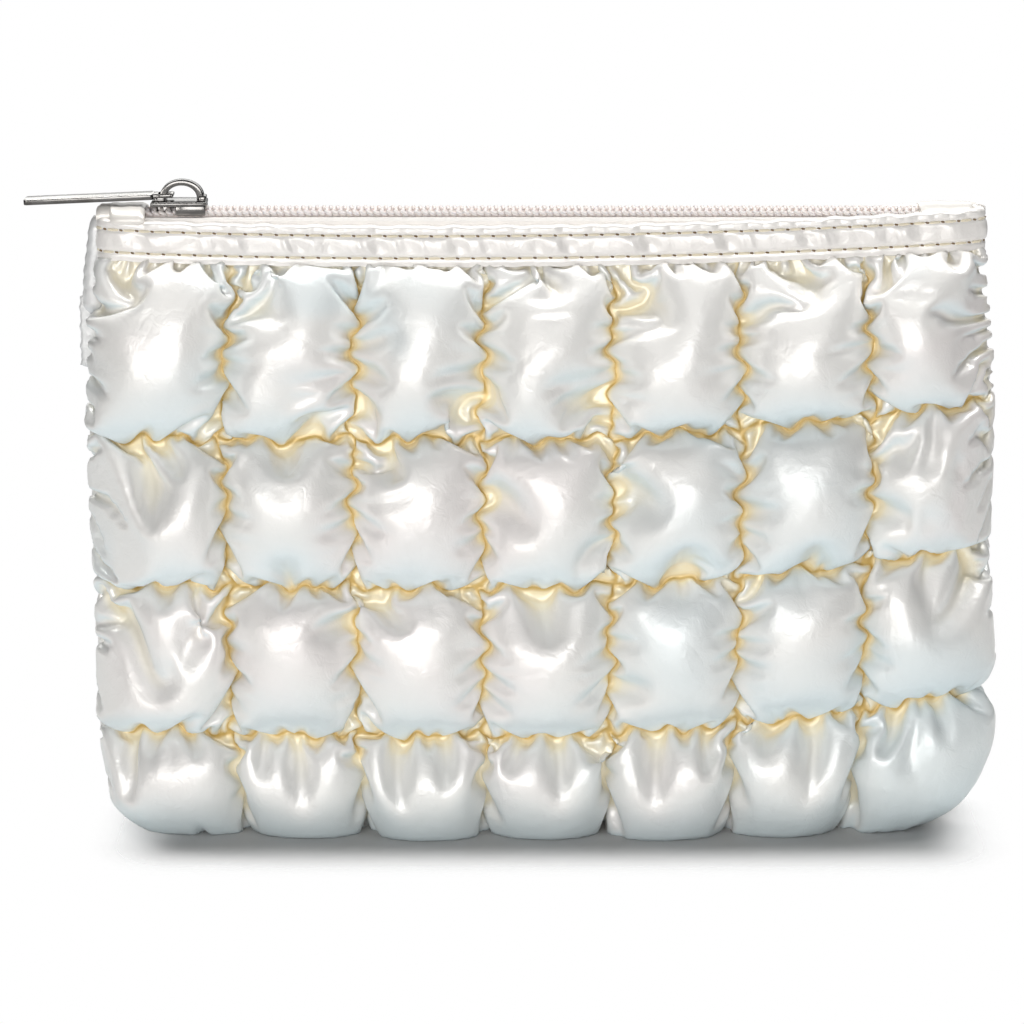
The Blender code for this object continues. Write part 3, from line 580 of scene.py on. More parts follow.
    def _hold_all(self, slant: float, bend: float) -> None:
        """Go once over the cloth's threads, its slants and its resistance to sharp bends.

        Args:
            slant: Share of the error taken out along the slants.
            bend: Share taken out between every second thread.
        """
        place = self.place
        across, up = self.across_rest, self.up_rest
        for k in (0, 1):
            count = (self.lines - k) // 2
            self._hold(place[:, k:k + 2 * count:2], place[:, k + 1:k + 2 * count:2],
                       across[:, k:k + 2 * count - 1:2][:, :count], 1.0)
            count = (self.levels - k) // 2
            self._hold(place[k:k + 2 * count:2], place[k + 1:k + 2 * count:2],
                       up[k:k + 2 * count - 1:2][:count], 1.0)
        for i in (0, 1):
            for j in (0, 1):
                tall = (self.levels - 1 - i) // 2 + ((self.levels - 1 - i) % 2)
                wide = (self.lines - 1 - j) // 2 + ((self.lines - 1 - j) % 2)
                rest = np.hypot(across[i:-1:2, j::2][:tall, :wide], up[i::2, j:-1:2][:tall, :wide])
                self._hold(place[i:-1:2, j:-1:2][:tall, :wide], place[i + 1::2, j + 1::2][:tall, :wide],
                           rest, slant)
                self._hold(place[i:-1:2, j + 1::2][:tall, :wide], place[i + 1::2, j:-1:2][:tall, :wide],
                           rest, slant)
        for k in range(4):
            one, two = place[:, k:-2:4], place[:, k + 2::4]
            rest = across[:, k:-1:4][:, :one.shape[1]] + across[:, k + 1::4][:, :one.shape[1]]
            self._hold(one, two[:, :one.shape[1]], rest, bend)
            one, two = place[k:-2:4], place[k + 2::4]
            rest = up[k:-1:4][:one.shape[0]] + up[k + 1::4][:one.shape[0]]
            self._hold(one, two[:one.shape[0]], rest, bend)

    def _keep_in_bounds(self) -> None:
        """Keep each puff between its own seams, over the lining and under the band."""
        place = self.place
        margin = self.quilt.seam_margin
        np.clip(place[..., 0], self.low_u + margin, self.high_u - margin, out=place[..., 0])
        np.clip(place[..., 1], self.low_v + margin, self.high_v - margin, out=place[..., 1])
        np.clip(place[..., 2], 0.0, self.ceiling, out=place[..., 2])
        covered = place[..., 1] > self.map.row_marks[-1] - 0.1
        place[..., 2] = np.where(covered, np.minimum(place[..., 2], self.quilt.mouth_lift),
                                  place[..., 2])
        place[self.sewn] = self.sewn_place

    def inflate(self, steps: int, passes: int) -> None:
        """Blow the puffs up and let the cloth settle.

        Args:
            steps: Number of time steps.
            passes: Times that the cloth's lengths are restored in each step.
        """
        quilt = self.quilt
        before = self.place.copy()
        before[..., 2] -= 0.02 * self.random.random(before.shape[:2])
        for step in range(steps):
            along = np.gradient(self.place, axis=1)
            up = np.gradient(self.place, axis=0)
            normal = np.cross(along, up)
            normal /= np.linalg.norm(normal, axis=-1, keepdims=True) + 1e-9
            ease = min(1.0, step / (0.25 * steps))
            push = quilt.growth * ease * self.pressure
            move = (self.place - before) * quilt.drag + normal * push[..., None]
            before = self.place.copy()
            self.place += move
            for _ in range(passes):
                self._hold_all(quilt.slant_hold, quilt.bend_hold)
                self._keep_in_bounds()

    def painted_seam_shade(self) -> np.ndarray:
        """Return how deep each point lies below its surroundings, from 0 to 1, used as painted seam shade.

        Returns:
            One shade for each point of the grid.
        """
        # painted seam shade: the smoothed height less the height marks where the cloth sinks between the
        # puffs
        shade = SeamShade()
        rise = self.place[..., 2]
        wide = rise
        for _ in range(shade.rounds):
            padded = np.pad(wide, 1, mode="edge")
            wide = (padded[:-2, 1:-1] + padded[2:, 1:-1] + padded[1:-1, :-2] + padded[1:-1, 2:]) / 4.0
        edge = np.clip((1.0 - self.sideways) * shade.edge_gain, 0.0, 1.0)
        spread = np.maximum(np.clip((wide - rise) / shade.sink, 0.0, 1.0), np.exp(-(rise / shade.near) ** 2))
        line = np.exp(-(rise / shade.thread) ** 2) * edge * self.sewn
        below = self.map.row_marks[-1] - self.flat_v
        mouth = 1.0 - shade.mouth_fade * np.exp(-(below / shade.mouth_reach) ** 2)
        body = shade.spread_share * spread * (1.0 - shade.edge_share + shade.edge_share * edge)
        return np.clip(body * mouth + shade.line_share * line, 0.0, 1.0)


def clear_selection() -> None:
    """Leave edit mode and deselect everything, the CAD nodes included."""
    if bpy.context.object and bpy.context.object.mode != "OBJECT":
        bpy.ops.object.mode_set(mode="OBJECT")
    bpy.ops.object.select_all(action="DESELECT")


def select_only(piece: Piece) -> None:
    """Select one piece alone and make it the active one.

    Args:
        piece: The piece.
    """
    clear_selection()
    piece.select_set(True)
    bpy.context.view_layer.objects.active = piece


def leave_edit_mode() -> None:
    """Go back to object mode after an edit."""
    bpy.ops.object.mode_set(mode="OBJECT")


def take_primitive(name: str) -> Piece:
    """Name the primitive that was just added and apply its place.

    Args:
        name: Name of the new piece.

    Returns:
        The piece, at the origin, with its place in its mesh.
    """
    piece = bpy.context.object
    piece.name = name
    piece.data.name = name
    bpy.ops.object.transform_apply(location=True, rotation=True, scale=True)
    return piece


def apply_modifiers(piece: Piece) -> None:
    """Apply all of a piece's modifiers in their order.

    Args:
        piece: The piece that carries them.
    """
    select_only(piece)
    for modifier in list(piece.modifiers):
        bpy.ops.object.modifier_apply(modifier=modifier.name)


def smooth(piece: Piece, degrees: float) -> None:
    """Shade a piece smooth, apart from edges sharper than an angle.

    Args:
        piece: The piece.
        degrees: The angle, in degrees.
    """
    select_only(piece)
    bpy.ops.object.shade_smooth_by_angle(angle=math.radians(degrees))


def mesh_piece(name: str, points: np.ndarray, faces: list[tuple[int, ...]]) -> Piece:
    """Make a piece from points and faces, with the faces turned outwards.

    Args:
        name: Name of the piece.
        points: Its points in metres.
        faces: Indices of each face's points.

    Returns:
        The new piece.
    """
    mesh = bpy.data.meshes.new(name)
    mesh.from_pydata(np.asarray(points).reshape(-1, 3).tolist(), [], faces)
    mesh.validate()
    piece = bpy.data.objects.new(name, mesh)
    bpy.context.scene.collection.objects.link(piece)
    select_only(piece)
    bpy.ops.object.mode_set(mode="EDIT")
    bpy.ops.mesh.select_all(action="SELECT")
    bpy.ops.mesh.normals_make_consistent(inside=False)
    leave_edit_mode()
    return piece


def tube_faces(rings: int, around: int) -> list[tuple[int, ...]]:
    """Return the faces of a closed tube through rings of points, both ends capped.

    Args:
        rings: Number of rings.
        around: Number of points on each ring.

    Returns:
        Indices of each face's points.
    """
    faces = []
    for ring in range(rings - 1):
        for k in range(around):
            following = (k + 1) % around
            one, two = ring * around, (ring + 1) * around
            faces.append((one + k, one + following, two + following, two + k))
    faces.append(tuple(range(around - 1, -1, -1)))
    faces.append(tuple((rings - 1) * around + k for k in range(around)))
    return faces


def tube_piece(name: str, points: np.ndarray, degrees: float) -> Piece:
    """Make a smooth closed tube through rings of points.

    Args:
        name: Name of the piece.
        points: Rings of points in metres.
        degrees: Edges sharper than this stay sharp.

    Returns:
        The new piece.
    """
    piece = mesh_piece(name, points, tube_faces(*points.shape[:2]))
    smooth(piece, degrees)
    return piece


def waves(random: np.random.Generator, along: np.ndarray, lengths: tuple[float, ...]) -> np.ndarray:
    """Return a sum of sines of the given wavelengths with seeded phases, about -1 to 1.

    Args:
        random: Source of the phases.
        along: Places along the wave, in metres.
        lengths: The wavelengths, in metres.

    Returns:
        One height for each place.
    """
    total = np.zeros_like(along)
    for length in lengths:
        stretch = random.uniform(0.9, 1.1)
        total += np.sin(2.0 * math.pi * along / (length * stretch) + random.uniform(0.0, 2.0 * math.pi))
    return total / math.sqrt(len(lengths))


class Body(Enum):
    """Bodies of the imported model."""

    POUCH = "pouch"
    PULLER = "puller"


class Slot(Enum):
    """Material slots of the record."""

    CLOTH = "pearl_cloth"
    TAPE = "zipper_tape"
    COIL = "zipper_coil"
    METAL = "dark_nickel"


def finish_piece(piece: Piece, material: Finish, body: Body,
                 stands_for: tuple[str, ...] = ()) -> None:
    """Dress a piece, let it ride on its body and hide the CAD nodes that it stands for.

    Args:
        piece: The finished piece.
        material: Its finish.
        body: The body that it moves with.
        stands_for: CAD nodes that it takes the place of.
    """
    piece.data.materials.clear()
    piece.data.materials.append(material)
    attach(piece, body.value)
    if stands_for:
        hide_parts(*stands_for)
    LOG.info("%s: %d faces", piece.name, len(piece.data.polygons))


class Shader:
    """A small hand for wiring shader nodes."""

    def __init__(self, tree: bpy.types.NodeTree) -> None:
        """Work on one node tree."""
        self.tree = tree

    def put(self, value: object, target: Socket) -> None:
        """Link a socket to another, or set its number where the value is none.

        Args:
            value: A socket, a number, or a colour without its alpha.
            target: The input.
        """
        if isinstance(value, Socket):
            self.tree.links.new(value, target)
        elif target.type == "RGBA":
            target.default_value = (*value, 1.0)
        else:
            target.default_value = value

    def feed(self, node: bpy.types.Node, **values: object) -> None:
        """Put values into a node's inputs.

        Args:
            node: The node.
            **values: Sockets, numbers or colours by the input's name, with underscores for spaces.
        """
        for name, value in values.items():
            self.put(value, node.inputs[name.replace("_", " ")])

    def add(self, kind: str, **values: object) -> bpy.types.Node:
        """Add a node and set its properties, or its inputs where a name has a capital letter.

        Args:
            kind: Blender's name of the node, without "ShaderNode".
            **values: Properties, and inputs with underscores for spaces.

        Returns:
            The node.
        """
        node = self.tree.nodes.new(f"ShaderNode{kind}")
        for name, value in values.items():
            if name[0].isupper():
                self.feed(node, **{name: value})
            else:
                setattr(node, name, value)
        return node

    def math(self, operation: str, *values: object) -> Socket:
        """Return the result of one sum.

        Args:
            operation: Blender's name of the sum.
            *values: Its numbers or sockets.

        Returns:
            The result's socket.
        """
        node = self.add("Math", operation=operation)
        for index, value in enumerate(values):
            self.put(value, node.inputs[index])
        return node.outputs[0]

    def mix(self, share: object, one: object, two: object) -> Socket:
        """Return a colour mixed from two.

        Args:
            share: How much of the second colour shows.
            one: First colour or socket.
            two: Second colour or socket.

        Returns:
            The mixed colour's socket.
        """
        node = self.add("Mix", data_type="RGBA")
        for index, value in ((0, share), (6, one), (7, two)):
            self.put(value, node.inputs[index])
        return node.outputs[2]

    def ramp(self, value: Socket, low: float, high: float) -> Socket:
        """Return a smooth mask that runs from 0 at low to 1 at high.

        Args:
            value: The value that the mask follows.
            low: Value at which it is 0.
            high: Value at which it is 1.

        Returns:
            The mask's socket.
        """
        node = self.add("MapRange", interpolation_type="SMOOTHSTEP", Value=value, From_Min=low,
                        From_Max=high)
        return node.outputs["Result"]

    def coordinates(self) -> Socket:
        """Return the object's own coordinates."""
        return self.add("TexCoord").outputs["Object"]

    def upward(self) -> Socket:
        """Return how far the surface faces up, from -1 to 1."""
        outward = self.add("NewGeometry").outputs["Normal"]
        return self.add("SeparateXYZ", Vector=outward).outputs["Z"]


def new_group(name: str, takes: dict[str, float], gives: dict[str, str]) -> tuple[Shader, dict]:
    """Start a shader group with named sockets.

    Args:
        name: The group's name.
        takes: Names of the number inputs, with their usual values.
        gives: Names of the outputs, with their socket types.

    Returns:
        The hand that wires it, and its input and output sockets by name.
    """
    tree = bpy.data.node_groups.new(name, "ShaderNodeTree")
    for label, value in takes.items():
        socket = tree.interface.new_socket(label, in_out="INPUT", socket_type="NodeSocketFloat")
        socket.default_value = value
    for label, kind in gives.items():
        tree.interface.new_socket(label, in_out="OUTPUT", socket_type=kind)
    shader = Shader(tree)
    start, end = (tree.nodes.new(f"NodeGroup{part}") for part in ("Input", "Output"))
    sockets = {label: start.outputs[label] for label in takes}
    sockets.update({label: end.inputs[label] for label in gives})
    return shader, sockets


def wrinkle_group() -> bpy.types.NodeTree:
    """Return the group for fine wrinkles and pinpricks in coated cloth.

    Returns:
        The group, with the inputs Scale and Sharpness.
    """
    shader, sockets = new_group("fine_wrinkles", {"Scale": 300.0, "Sharpness": 1.0},
                                {"Height": "NodeSocketFloat"})
    place = shader.coordinates()
    soft = shader.add("TexNoise", Vector=place, Scale=sockets["Scale"], Detail=3.0, Roughness=0.55,
                      Distortion=0.6)
    folded = shader.math("ABSOLUTE", shader.math("SUBTRACT", soft.outputs["Fac"], 0.5))
    shader.put(shader.math("MULTIPLY", folded, sockets["Sharpness"]), sockets["Height"])
    return shader.tree


def pearl_group() -> bpy.types.NodeTree:
    """Return the group for the drift of a pearl coating between a cool and a warm white.

    Returns:
        The group, with the masks Cool and Warm.
    """
    shader, sockets = new_group("pearl_drift", {"Scale": 16.0}, {"Cool": "NodeSocketFloat",
                                                                 "Warm": "NodeSocketFloat"})
    place = shader.coordinates()
    drift = shader.add("TexNoise", Vector=place, Scale=sockets["Scale"], Detail=2.0, Roughness=0.5,
                       Distortion=0.9)
    for mask, full in (("Cool", 0.68), ("Warm", 0.34)):
        shader.put(shader.ramp(drift.outputs["Fac"], 0.50, full), sockets[mask])
    return shader.tree


def weave_group() -> bpy.types.NodeTree:
    """Return the group for plain woven threads along and across.

    Returns:
        The group, with the output Height.
    """
    shader, sockets = new_group("weave", {"Scale": 1400.0}, {"Height": "NodeSocketFloat"})
    place = shader.coordinates()
    heights = []
    for axis in ("X", "Y"):
        thread = shader.add("TexWave", bands_direction=axis, Vector=place, Scale=sockets["Scale"],
                            Distortion=0.4)
        heights.append(thread.outputs["Fac"])
    shader.put(shader.math("MULTIPLY", *heights), sockets["Height"])
    return shader.tree


def wear_group() -> bpy.types.NodeTree:
    """Return the group for hairline scratches and dull patches in polished metal.

    Returns:
        The group, with the masks Scratches and Dullness.
    """
    shader, sockets = new_group("wear", {"Scale": 900.0}, {"Scratches": "NodeSocketFloat",
                                                           "Dullness": "NodeSocketFloat"})
    place = shader.coordinates()
    lengthways = shader.add("Mapping", Vector=place, Scale=(0.06, 1.0, 1.0))
    lines = shader.add("TexNoise", Vector=lengthways.outputs["Vector"], Scale=sockets["Scale"], Detail=4.0)
    patches = shader.add("TexNoise", Vector=place, Scale=160.0, Detail=2.0)
    shader.put(lines.outputs["Fac"], sockets["Scratches"])
    shader.put(shader.ramp(patches.outputs["Fac"], 0.45, 0.7), sockets["Dullness"])
    return shader.tree


def start_material(name: str) -> tuple[Finish, Shader, bpy.types.Node]:
    """Return a new material, the hand that wires it and its Principled shader.

    Args:
        name: Name of the material.

    Returns:
        The three of them.
    """
    material = bpy.data.materials.new(name)
    material.use_nodes = True
    shader = Shader(material.node_tree)
    return material, shader, material.node_tree.nodes["Principled BSDF"]


def add_bump(shader: Shader, surface: bpy.types.Node, height: Socket, depth: float,
             strength: float) -> None:
    """Feed a height to a shader's normal.

    Args:
        shader: The material's hand.
        surface: Its Principled shader.
        height: The height, from 0 to 1.
        depth: What a height of 1 measures, in metres.
        strength: How strongly it shows.
    """
    bump = shader.add("Bump", Height=height, Strength=strength, Distance=depth)
    shader.feed(surface, Normal=bump.outputs["Normal"])


@dataclass(frozen=True)
class PearlCloth:
    """Nylon with a pearl coating, with painted shade: golden where it lies deep in a seam, cooler on its
    undersides and greyer near the floor.
    """

    name: str = "pearl_cloth_finish"
    white: Triple = (0.94, 0.925, 0.90)
    cool: Triple = (0.75, 0.86, 0.90)
    warm: Triple = (0.97, 0.90, 0.89)
    # low: painted shade, the greyer colour the cloth takes near the floor
    low: Triple = (0.76, 0.82, 0.80)
    # straw, tan and gold: painted shade in the seams, golden tinted, deepening with the seam's depth
    straw: Triple = (0.98, 0.92, 0.75)
    tan: Triple = (0.93, 0.81, 0.54)
    gold: Triple = (0.62, 0.42, 0.12)
    roughness: float = 0.38
    metallic: float = 0.20
    coat: float = 0.50
    coat_roughness: float = 0.19
    wrinkle: float = 0.00035
    # painted underside shade: faces that turn down are tinted towards the cool colour
    underside_shade_ramp: tuple[float, float] = (0.15, -0.70)
    underside_shade_share: float = 0.85
    # painted shade near the floor, by height
    base_shade_ramp: tuple[float, float] = (0.050, 0.002)
    base_shade_share: float = 0.18
    straw_ramp: tuple[float, float] = (0.03, 0.43)
    tan_ramp: tuple[float, float] = (0.45, 0.66)
    gold_ramp: tuple[float, float] = (0.68, 1.0)
    crumple: float = 5.0
    crumple_scale: float = 40.0
    drift: float = 0.5

    def make(self, groups: Groups) -> Finish:
        """Return the material.

        Args:
            groups: The shared shader groups by name.

        Returns:
            The material.
        """
        material, shader, surface = start_material(self.name)
        pearl = shader.add("Group", node_tree=groups["pearl"])
        wrinkles = shader.add("Group", node_tree=groups["wrinkles"])
        cool = shader.math("MULTIPLY", pearl.outputs["Cool"], self.drift)
        warm = shader.math("MULTIPLY", pearl.outputs["Warm"], self.drift)
        # painted underside shade, by how far the surface faces down
        under = shader.math("MULTIPLY", shader.ramp(shader.upward(), *self.underside_shade_ramp), self.underside_shade_share)
        # painted shade that greys the cloth near the floor, by height
        place = shader.add("SeparateXYZ", Vector=shader.coordinates())
        foot = shader.math("MULTIPLY", shader.ramp(place.outputs["Z"], *self.base_shade_ramp), self.base_shade_share)
        # painted seam shade: deeper seam points turn straw, then tan, then dark gold
        painted_seam_shade = shader.add("Attribute", attribute_name="painted_seam_shade").outputs["Fac"]
        colour = self.white
        for share, added in ((cool, self.cool), (warm, self.warm), (under, self.cool), (foot, self.low),
                             (shader.ramp(painted_seam_shade, *self.straw_ramp), self.straw),
                             (shader.ramp(painted_seam_shade, *self.tan_ramp), self.tan),
                             (shader.ramp(painted_seam_shade, *self.gold_ramp), self.gold)):
            colour = shader.mix(share, colour, added)
        rough = shader.math("MULTIPLY_ADD", pearl.outputs["Cool"], 0.05, self.roughness)
        shader.feed(surface, Base_Color=colour, Roughness=rough, Metallic=self.metallic,
                    Coat_Weight=self.coat, Coat_Roughness=self.coat_roughness)
        crumple = shader.add("Group", node_tree=groups["wrinkles"], Scale=self.crumple_scale)
        height = shader.math("MULTIPLY_ADD", crumple.outputs["Height"], self.crumple,
                             wrinkles.outputs["Height"])
        add_bump(shader, surface, height, self.wrinkle, 0.6)
        return material


@dataclass(frozen=True)
class WovenTape:
    """Matt woven zipper tape."""

    name: str = "woven_tape_finish"
    colour: Triple = (0.98, 0.96, 0.94)
    shade: Triple = (0.92, 0.89, 0.86)
    roughness: float = 0.8
    sheen: float = 0.25
    relief: float = 0.5

    def make(self, groups: Groups) -> Finish:
        """Return the material.

        Args:
            groups: The shared shader groups by name.

        Returns:
            The material.
        """
        material, shader, surface = start_material(self.name)
        height = shader.add("Group", node_tree=groups["weave"]).outputs["Height"]
        shader.feed(surface, Base_Color=shader.mix(height, self.shade, self.colour),
                    Roughness=self.roughness, Sheen_Weight=self.sheen)
        add_bump(shader, surface, height, 0.0001, self.relief)
        return material


@dataclass(frozen=True)
class MouldedCoil:
    """Moulded nylon of the zipper's coil, also used for its sewing thread."""

    name: str = "moulded_coil_finish"
    colour: Triple = (0.83, 0.755, 0.725)
    roughness: float = 0.38

    def make(self, groups: Groups) -> Finish:
        """Return the material.

        Args:
            groups: The shared shader groups by name.

        Returns:
            The material.
        """
        material, shader, surface = start_material(self.name)
        pearl = shader.add("Group", node_tree=groups["pearl"])
        darker = tuple(part * 0.93 for part in self.colour)
        shader.feed(surface, Base_Color=shader.mix(pearl.outputs["Warm"], self.colour, darker),
                    Roughness=self.roughness, Subsurface_Weight=0.1)
        return material


@dataclass(frozen=True)
class PolishedNickel:
    """Polished dark nickel of the slider and the puller, paler on the faces that turn upwards as a painted
    highlight.
    """

    name: str = "polished_nickel_finish"
    bright: Triple = (0.17, 0.165, 0.16)
    dark: Triple = (0.11, 0.105, 0.10)
    # upper: painted highlight, the colour of faces that turn upwards
    upper: Triple = (0.62, 0.61, 0.59)

    def make(self, groups: Groups) -> Finish:
        """Return the material.

        Args:
            groups: The shared shader groups by name.

        Returns:
            The material.
        """
        material, shader, surface = start_material(self.name)
        wear = shader.add("Group", node_tree=groups["wear"])
        colour = shader.mix(wear.outputs["Dullness"], self.bright, self.dark)
        # painted highlight on faces that turn upwards, by the surface's normal
        colour = shader.mix(shader.ramp(shader.upward(), 0.6, 0.95), colour, self.upper)
        rough = shader.math("MULTIPLY_ADD", wear.outputs["Scratches"], 0.16, 0.10)
        shader.feed(surface, Base_Color=colour, Metallic=1.0, Roughness=rough)
        add_bump(shader, surface, wear.outputs["Scratches"], 0.00002, 0.25)
        return material


@dataclass(frozen=True)
class TwistedThread(WovenTape):
    """Cream sewing thread, and the painted shade of the needle holes."""

    name: str = "sewing_thread_finish"
    colour: Triple = (0.95, 0.89, 0.75)
    shade: Triple = (0.87, 0.78, 0.59)
    roughness: float = 0.6
    sheen: float = 0.2
    relief: float = 0.6


@dataclass
class PuffedWall:
    """One padded wall, from its simulated cloth to its finished shell."""

    quilt_map: QuiltMap
    side: Side
    folds: tuple[Fold, ...]
    seed: int
    steps: int = 300
    quick_steps: int = 90
    passes: int = 5
    skin: float = 0.5
    refine: int = 2
    inner_lines: int = 57
    inner_levels: int = 33
    clearance: float = 0.00015

    def refined(self, grid: np.ndarray) -> np.ndarray:
        """Return a grid with extra lines between its own, on a smooth curve through them.

        Args:
            grid: Values on the grid's levels and lines, one row each.

        Returns:
            The finer grid.
        """
        for axis in (0, 1):
            count = grid.shape[axis]
            at = np.linspace(0.0, count - 1.0, (count - 1) * self.refine + 1)
            base = np.clip(np.floor(at).astype(int), 0, count - 2)
            t = (at - base).reshape([-1 if k == axis else 1 for k in range(grid.ndim)])
            before = np.take(grid, np.maximum(base - 1, 0), axis=axis)
            one = np.take(grid, base, axis=axis)
            two = np.take(grid, base + 1, axis=axis)
            after = np.take(grid, np.minimum(base + 2, count - 1), axis=axis)
            grid = one + 0.5 * t * ((two - before) + t * (
                2.0 * before - 5.0 * one + 4.0 * two - after + t * (3.0 * (one - two) + after - before)))
        return grid

    def shell(self, cloth: PuffCloth) -> tuple[np.ndarray, np.ndarray, np.ndarray]:
        """Return the outer skin, its painted seam shade and the plain lining behind it.

        Args:
            cloth: The cloth after it has been inflated.

        Returns:
            The skin's points, its painted seam shade and the lining's points.
        """
        flat = self.refined(cloth.place)
        shade = self.refined(cloth.painted_seam_shade()[..., None])[..., 0]
        rise = np.maximum(flat[..., 2], 0.0) + self.skin
        outer = self.quilt_map.place(flat[..., 0], flat[..., 1], rise)
        u = np.linspace(0.0, self.quilt_map.across_arc[-1], self.inner_lines)
        v = np.linspace(0.0, flat[-1, 0, 1], self.inner_levels)
        inner = self.quilt_map.lining(*np.meshgrid(u, v))
        for points in (outer, inner):
            points[..., 1] = np.minimum(points[..., 1], -self.clearance)
            points[..., 2] = np.maximum(points[..., 2], 0.0)
            points[..., 1] *= -self.side.value
        return outer, np.clip(shade, 0.0, 1.0), inner

    @staticmethod
    def edge(rows: int, lines: int, start: int) -> list[int]:
        """Return the indices round the edge of a grid of points, once round."""
        index = np.arange(rows * lines).reshape(rows, lines) + start
        return [*index[0, :-1], *index[:-1, -1], *index[-1, :0:-1], *index[:0:-1, 0]]

    def build(self, material: Finish) -> Piece:
        """Return the wall as one closed piece.

        Args:
            material: Its finish.

        Returns:
            The finished piece.
        """
        cloth = PuffCloth(self.quilt_map, self.folds, self.seed)
        cloth.inflate(self.steps, self.passes)
        outer, shade, inner = self.shell(cloth)
        rows, lines = outer.shape[:2]
        low_rows, low_lines = inner.shape[:2]
        faces: list[tuple[int, ...]] = []
        for start, tall, wide in ((0, rows, lines), (rows * lines, low_rows, low_lines)):
            index = np.arange(tall * wide).reshape(tall, wide) + start
            corners = (index[:-1, :-1], index[:-1, 1:], index[1:, 1:], index[1:, :-1])
            faces += np.stack([corner.ravel() for corner in corners], axis=-1).tolist()
        fine = self.edge(rows, lines, 0)
        coarse = self.edge(low_rows, low_lines, rows * lines)
        fine_corners = np.cumsum([0, lines - 1, rows - 1, lines - 1, rows - 1])
        coarse_corners = np.cumsum([0, low_lines - 1, low_rows - 1, low_lines - 1, low_rows - 1])
        partner = np.interp(np.arange(len(fine) + 1), fine_corners, coarse_corners).round().astype(int)
        for k in range(len(fine)):
            one, two = fine[k], fine[(k + 1) % len(fine)]
            near, far = coarse[partner[k] % len(coarse)], coarse[partner[k + 1] % len(coarse)]
            faces.append((two, one, near))
            if near != far:
                faces.append((two, near, far))
        points = np.concatenate((outer.reshape(-1, 3), inner.reshape(-1, 3)))
        piece = mesh_piece(f"{self.side.label}_puffs", points, faces)
        # the painted seam shade goes to the material as a point attribute
        mark = piece.data.attributes.new("painted_seam_shade", "FLOAT", "POINT")
        mark.data.foreach_set("value", np.concatenate((shade.ravel(), np.zeros(inner[..., 0].size))))
        piece.data.shade_smooth()
        finish_piece(piece, material, Body.POUCH, (f"{self.side.label}_panel",))
        return piece


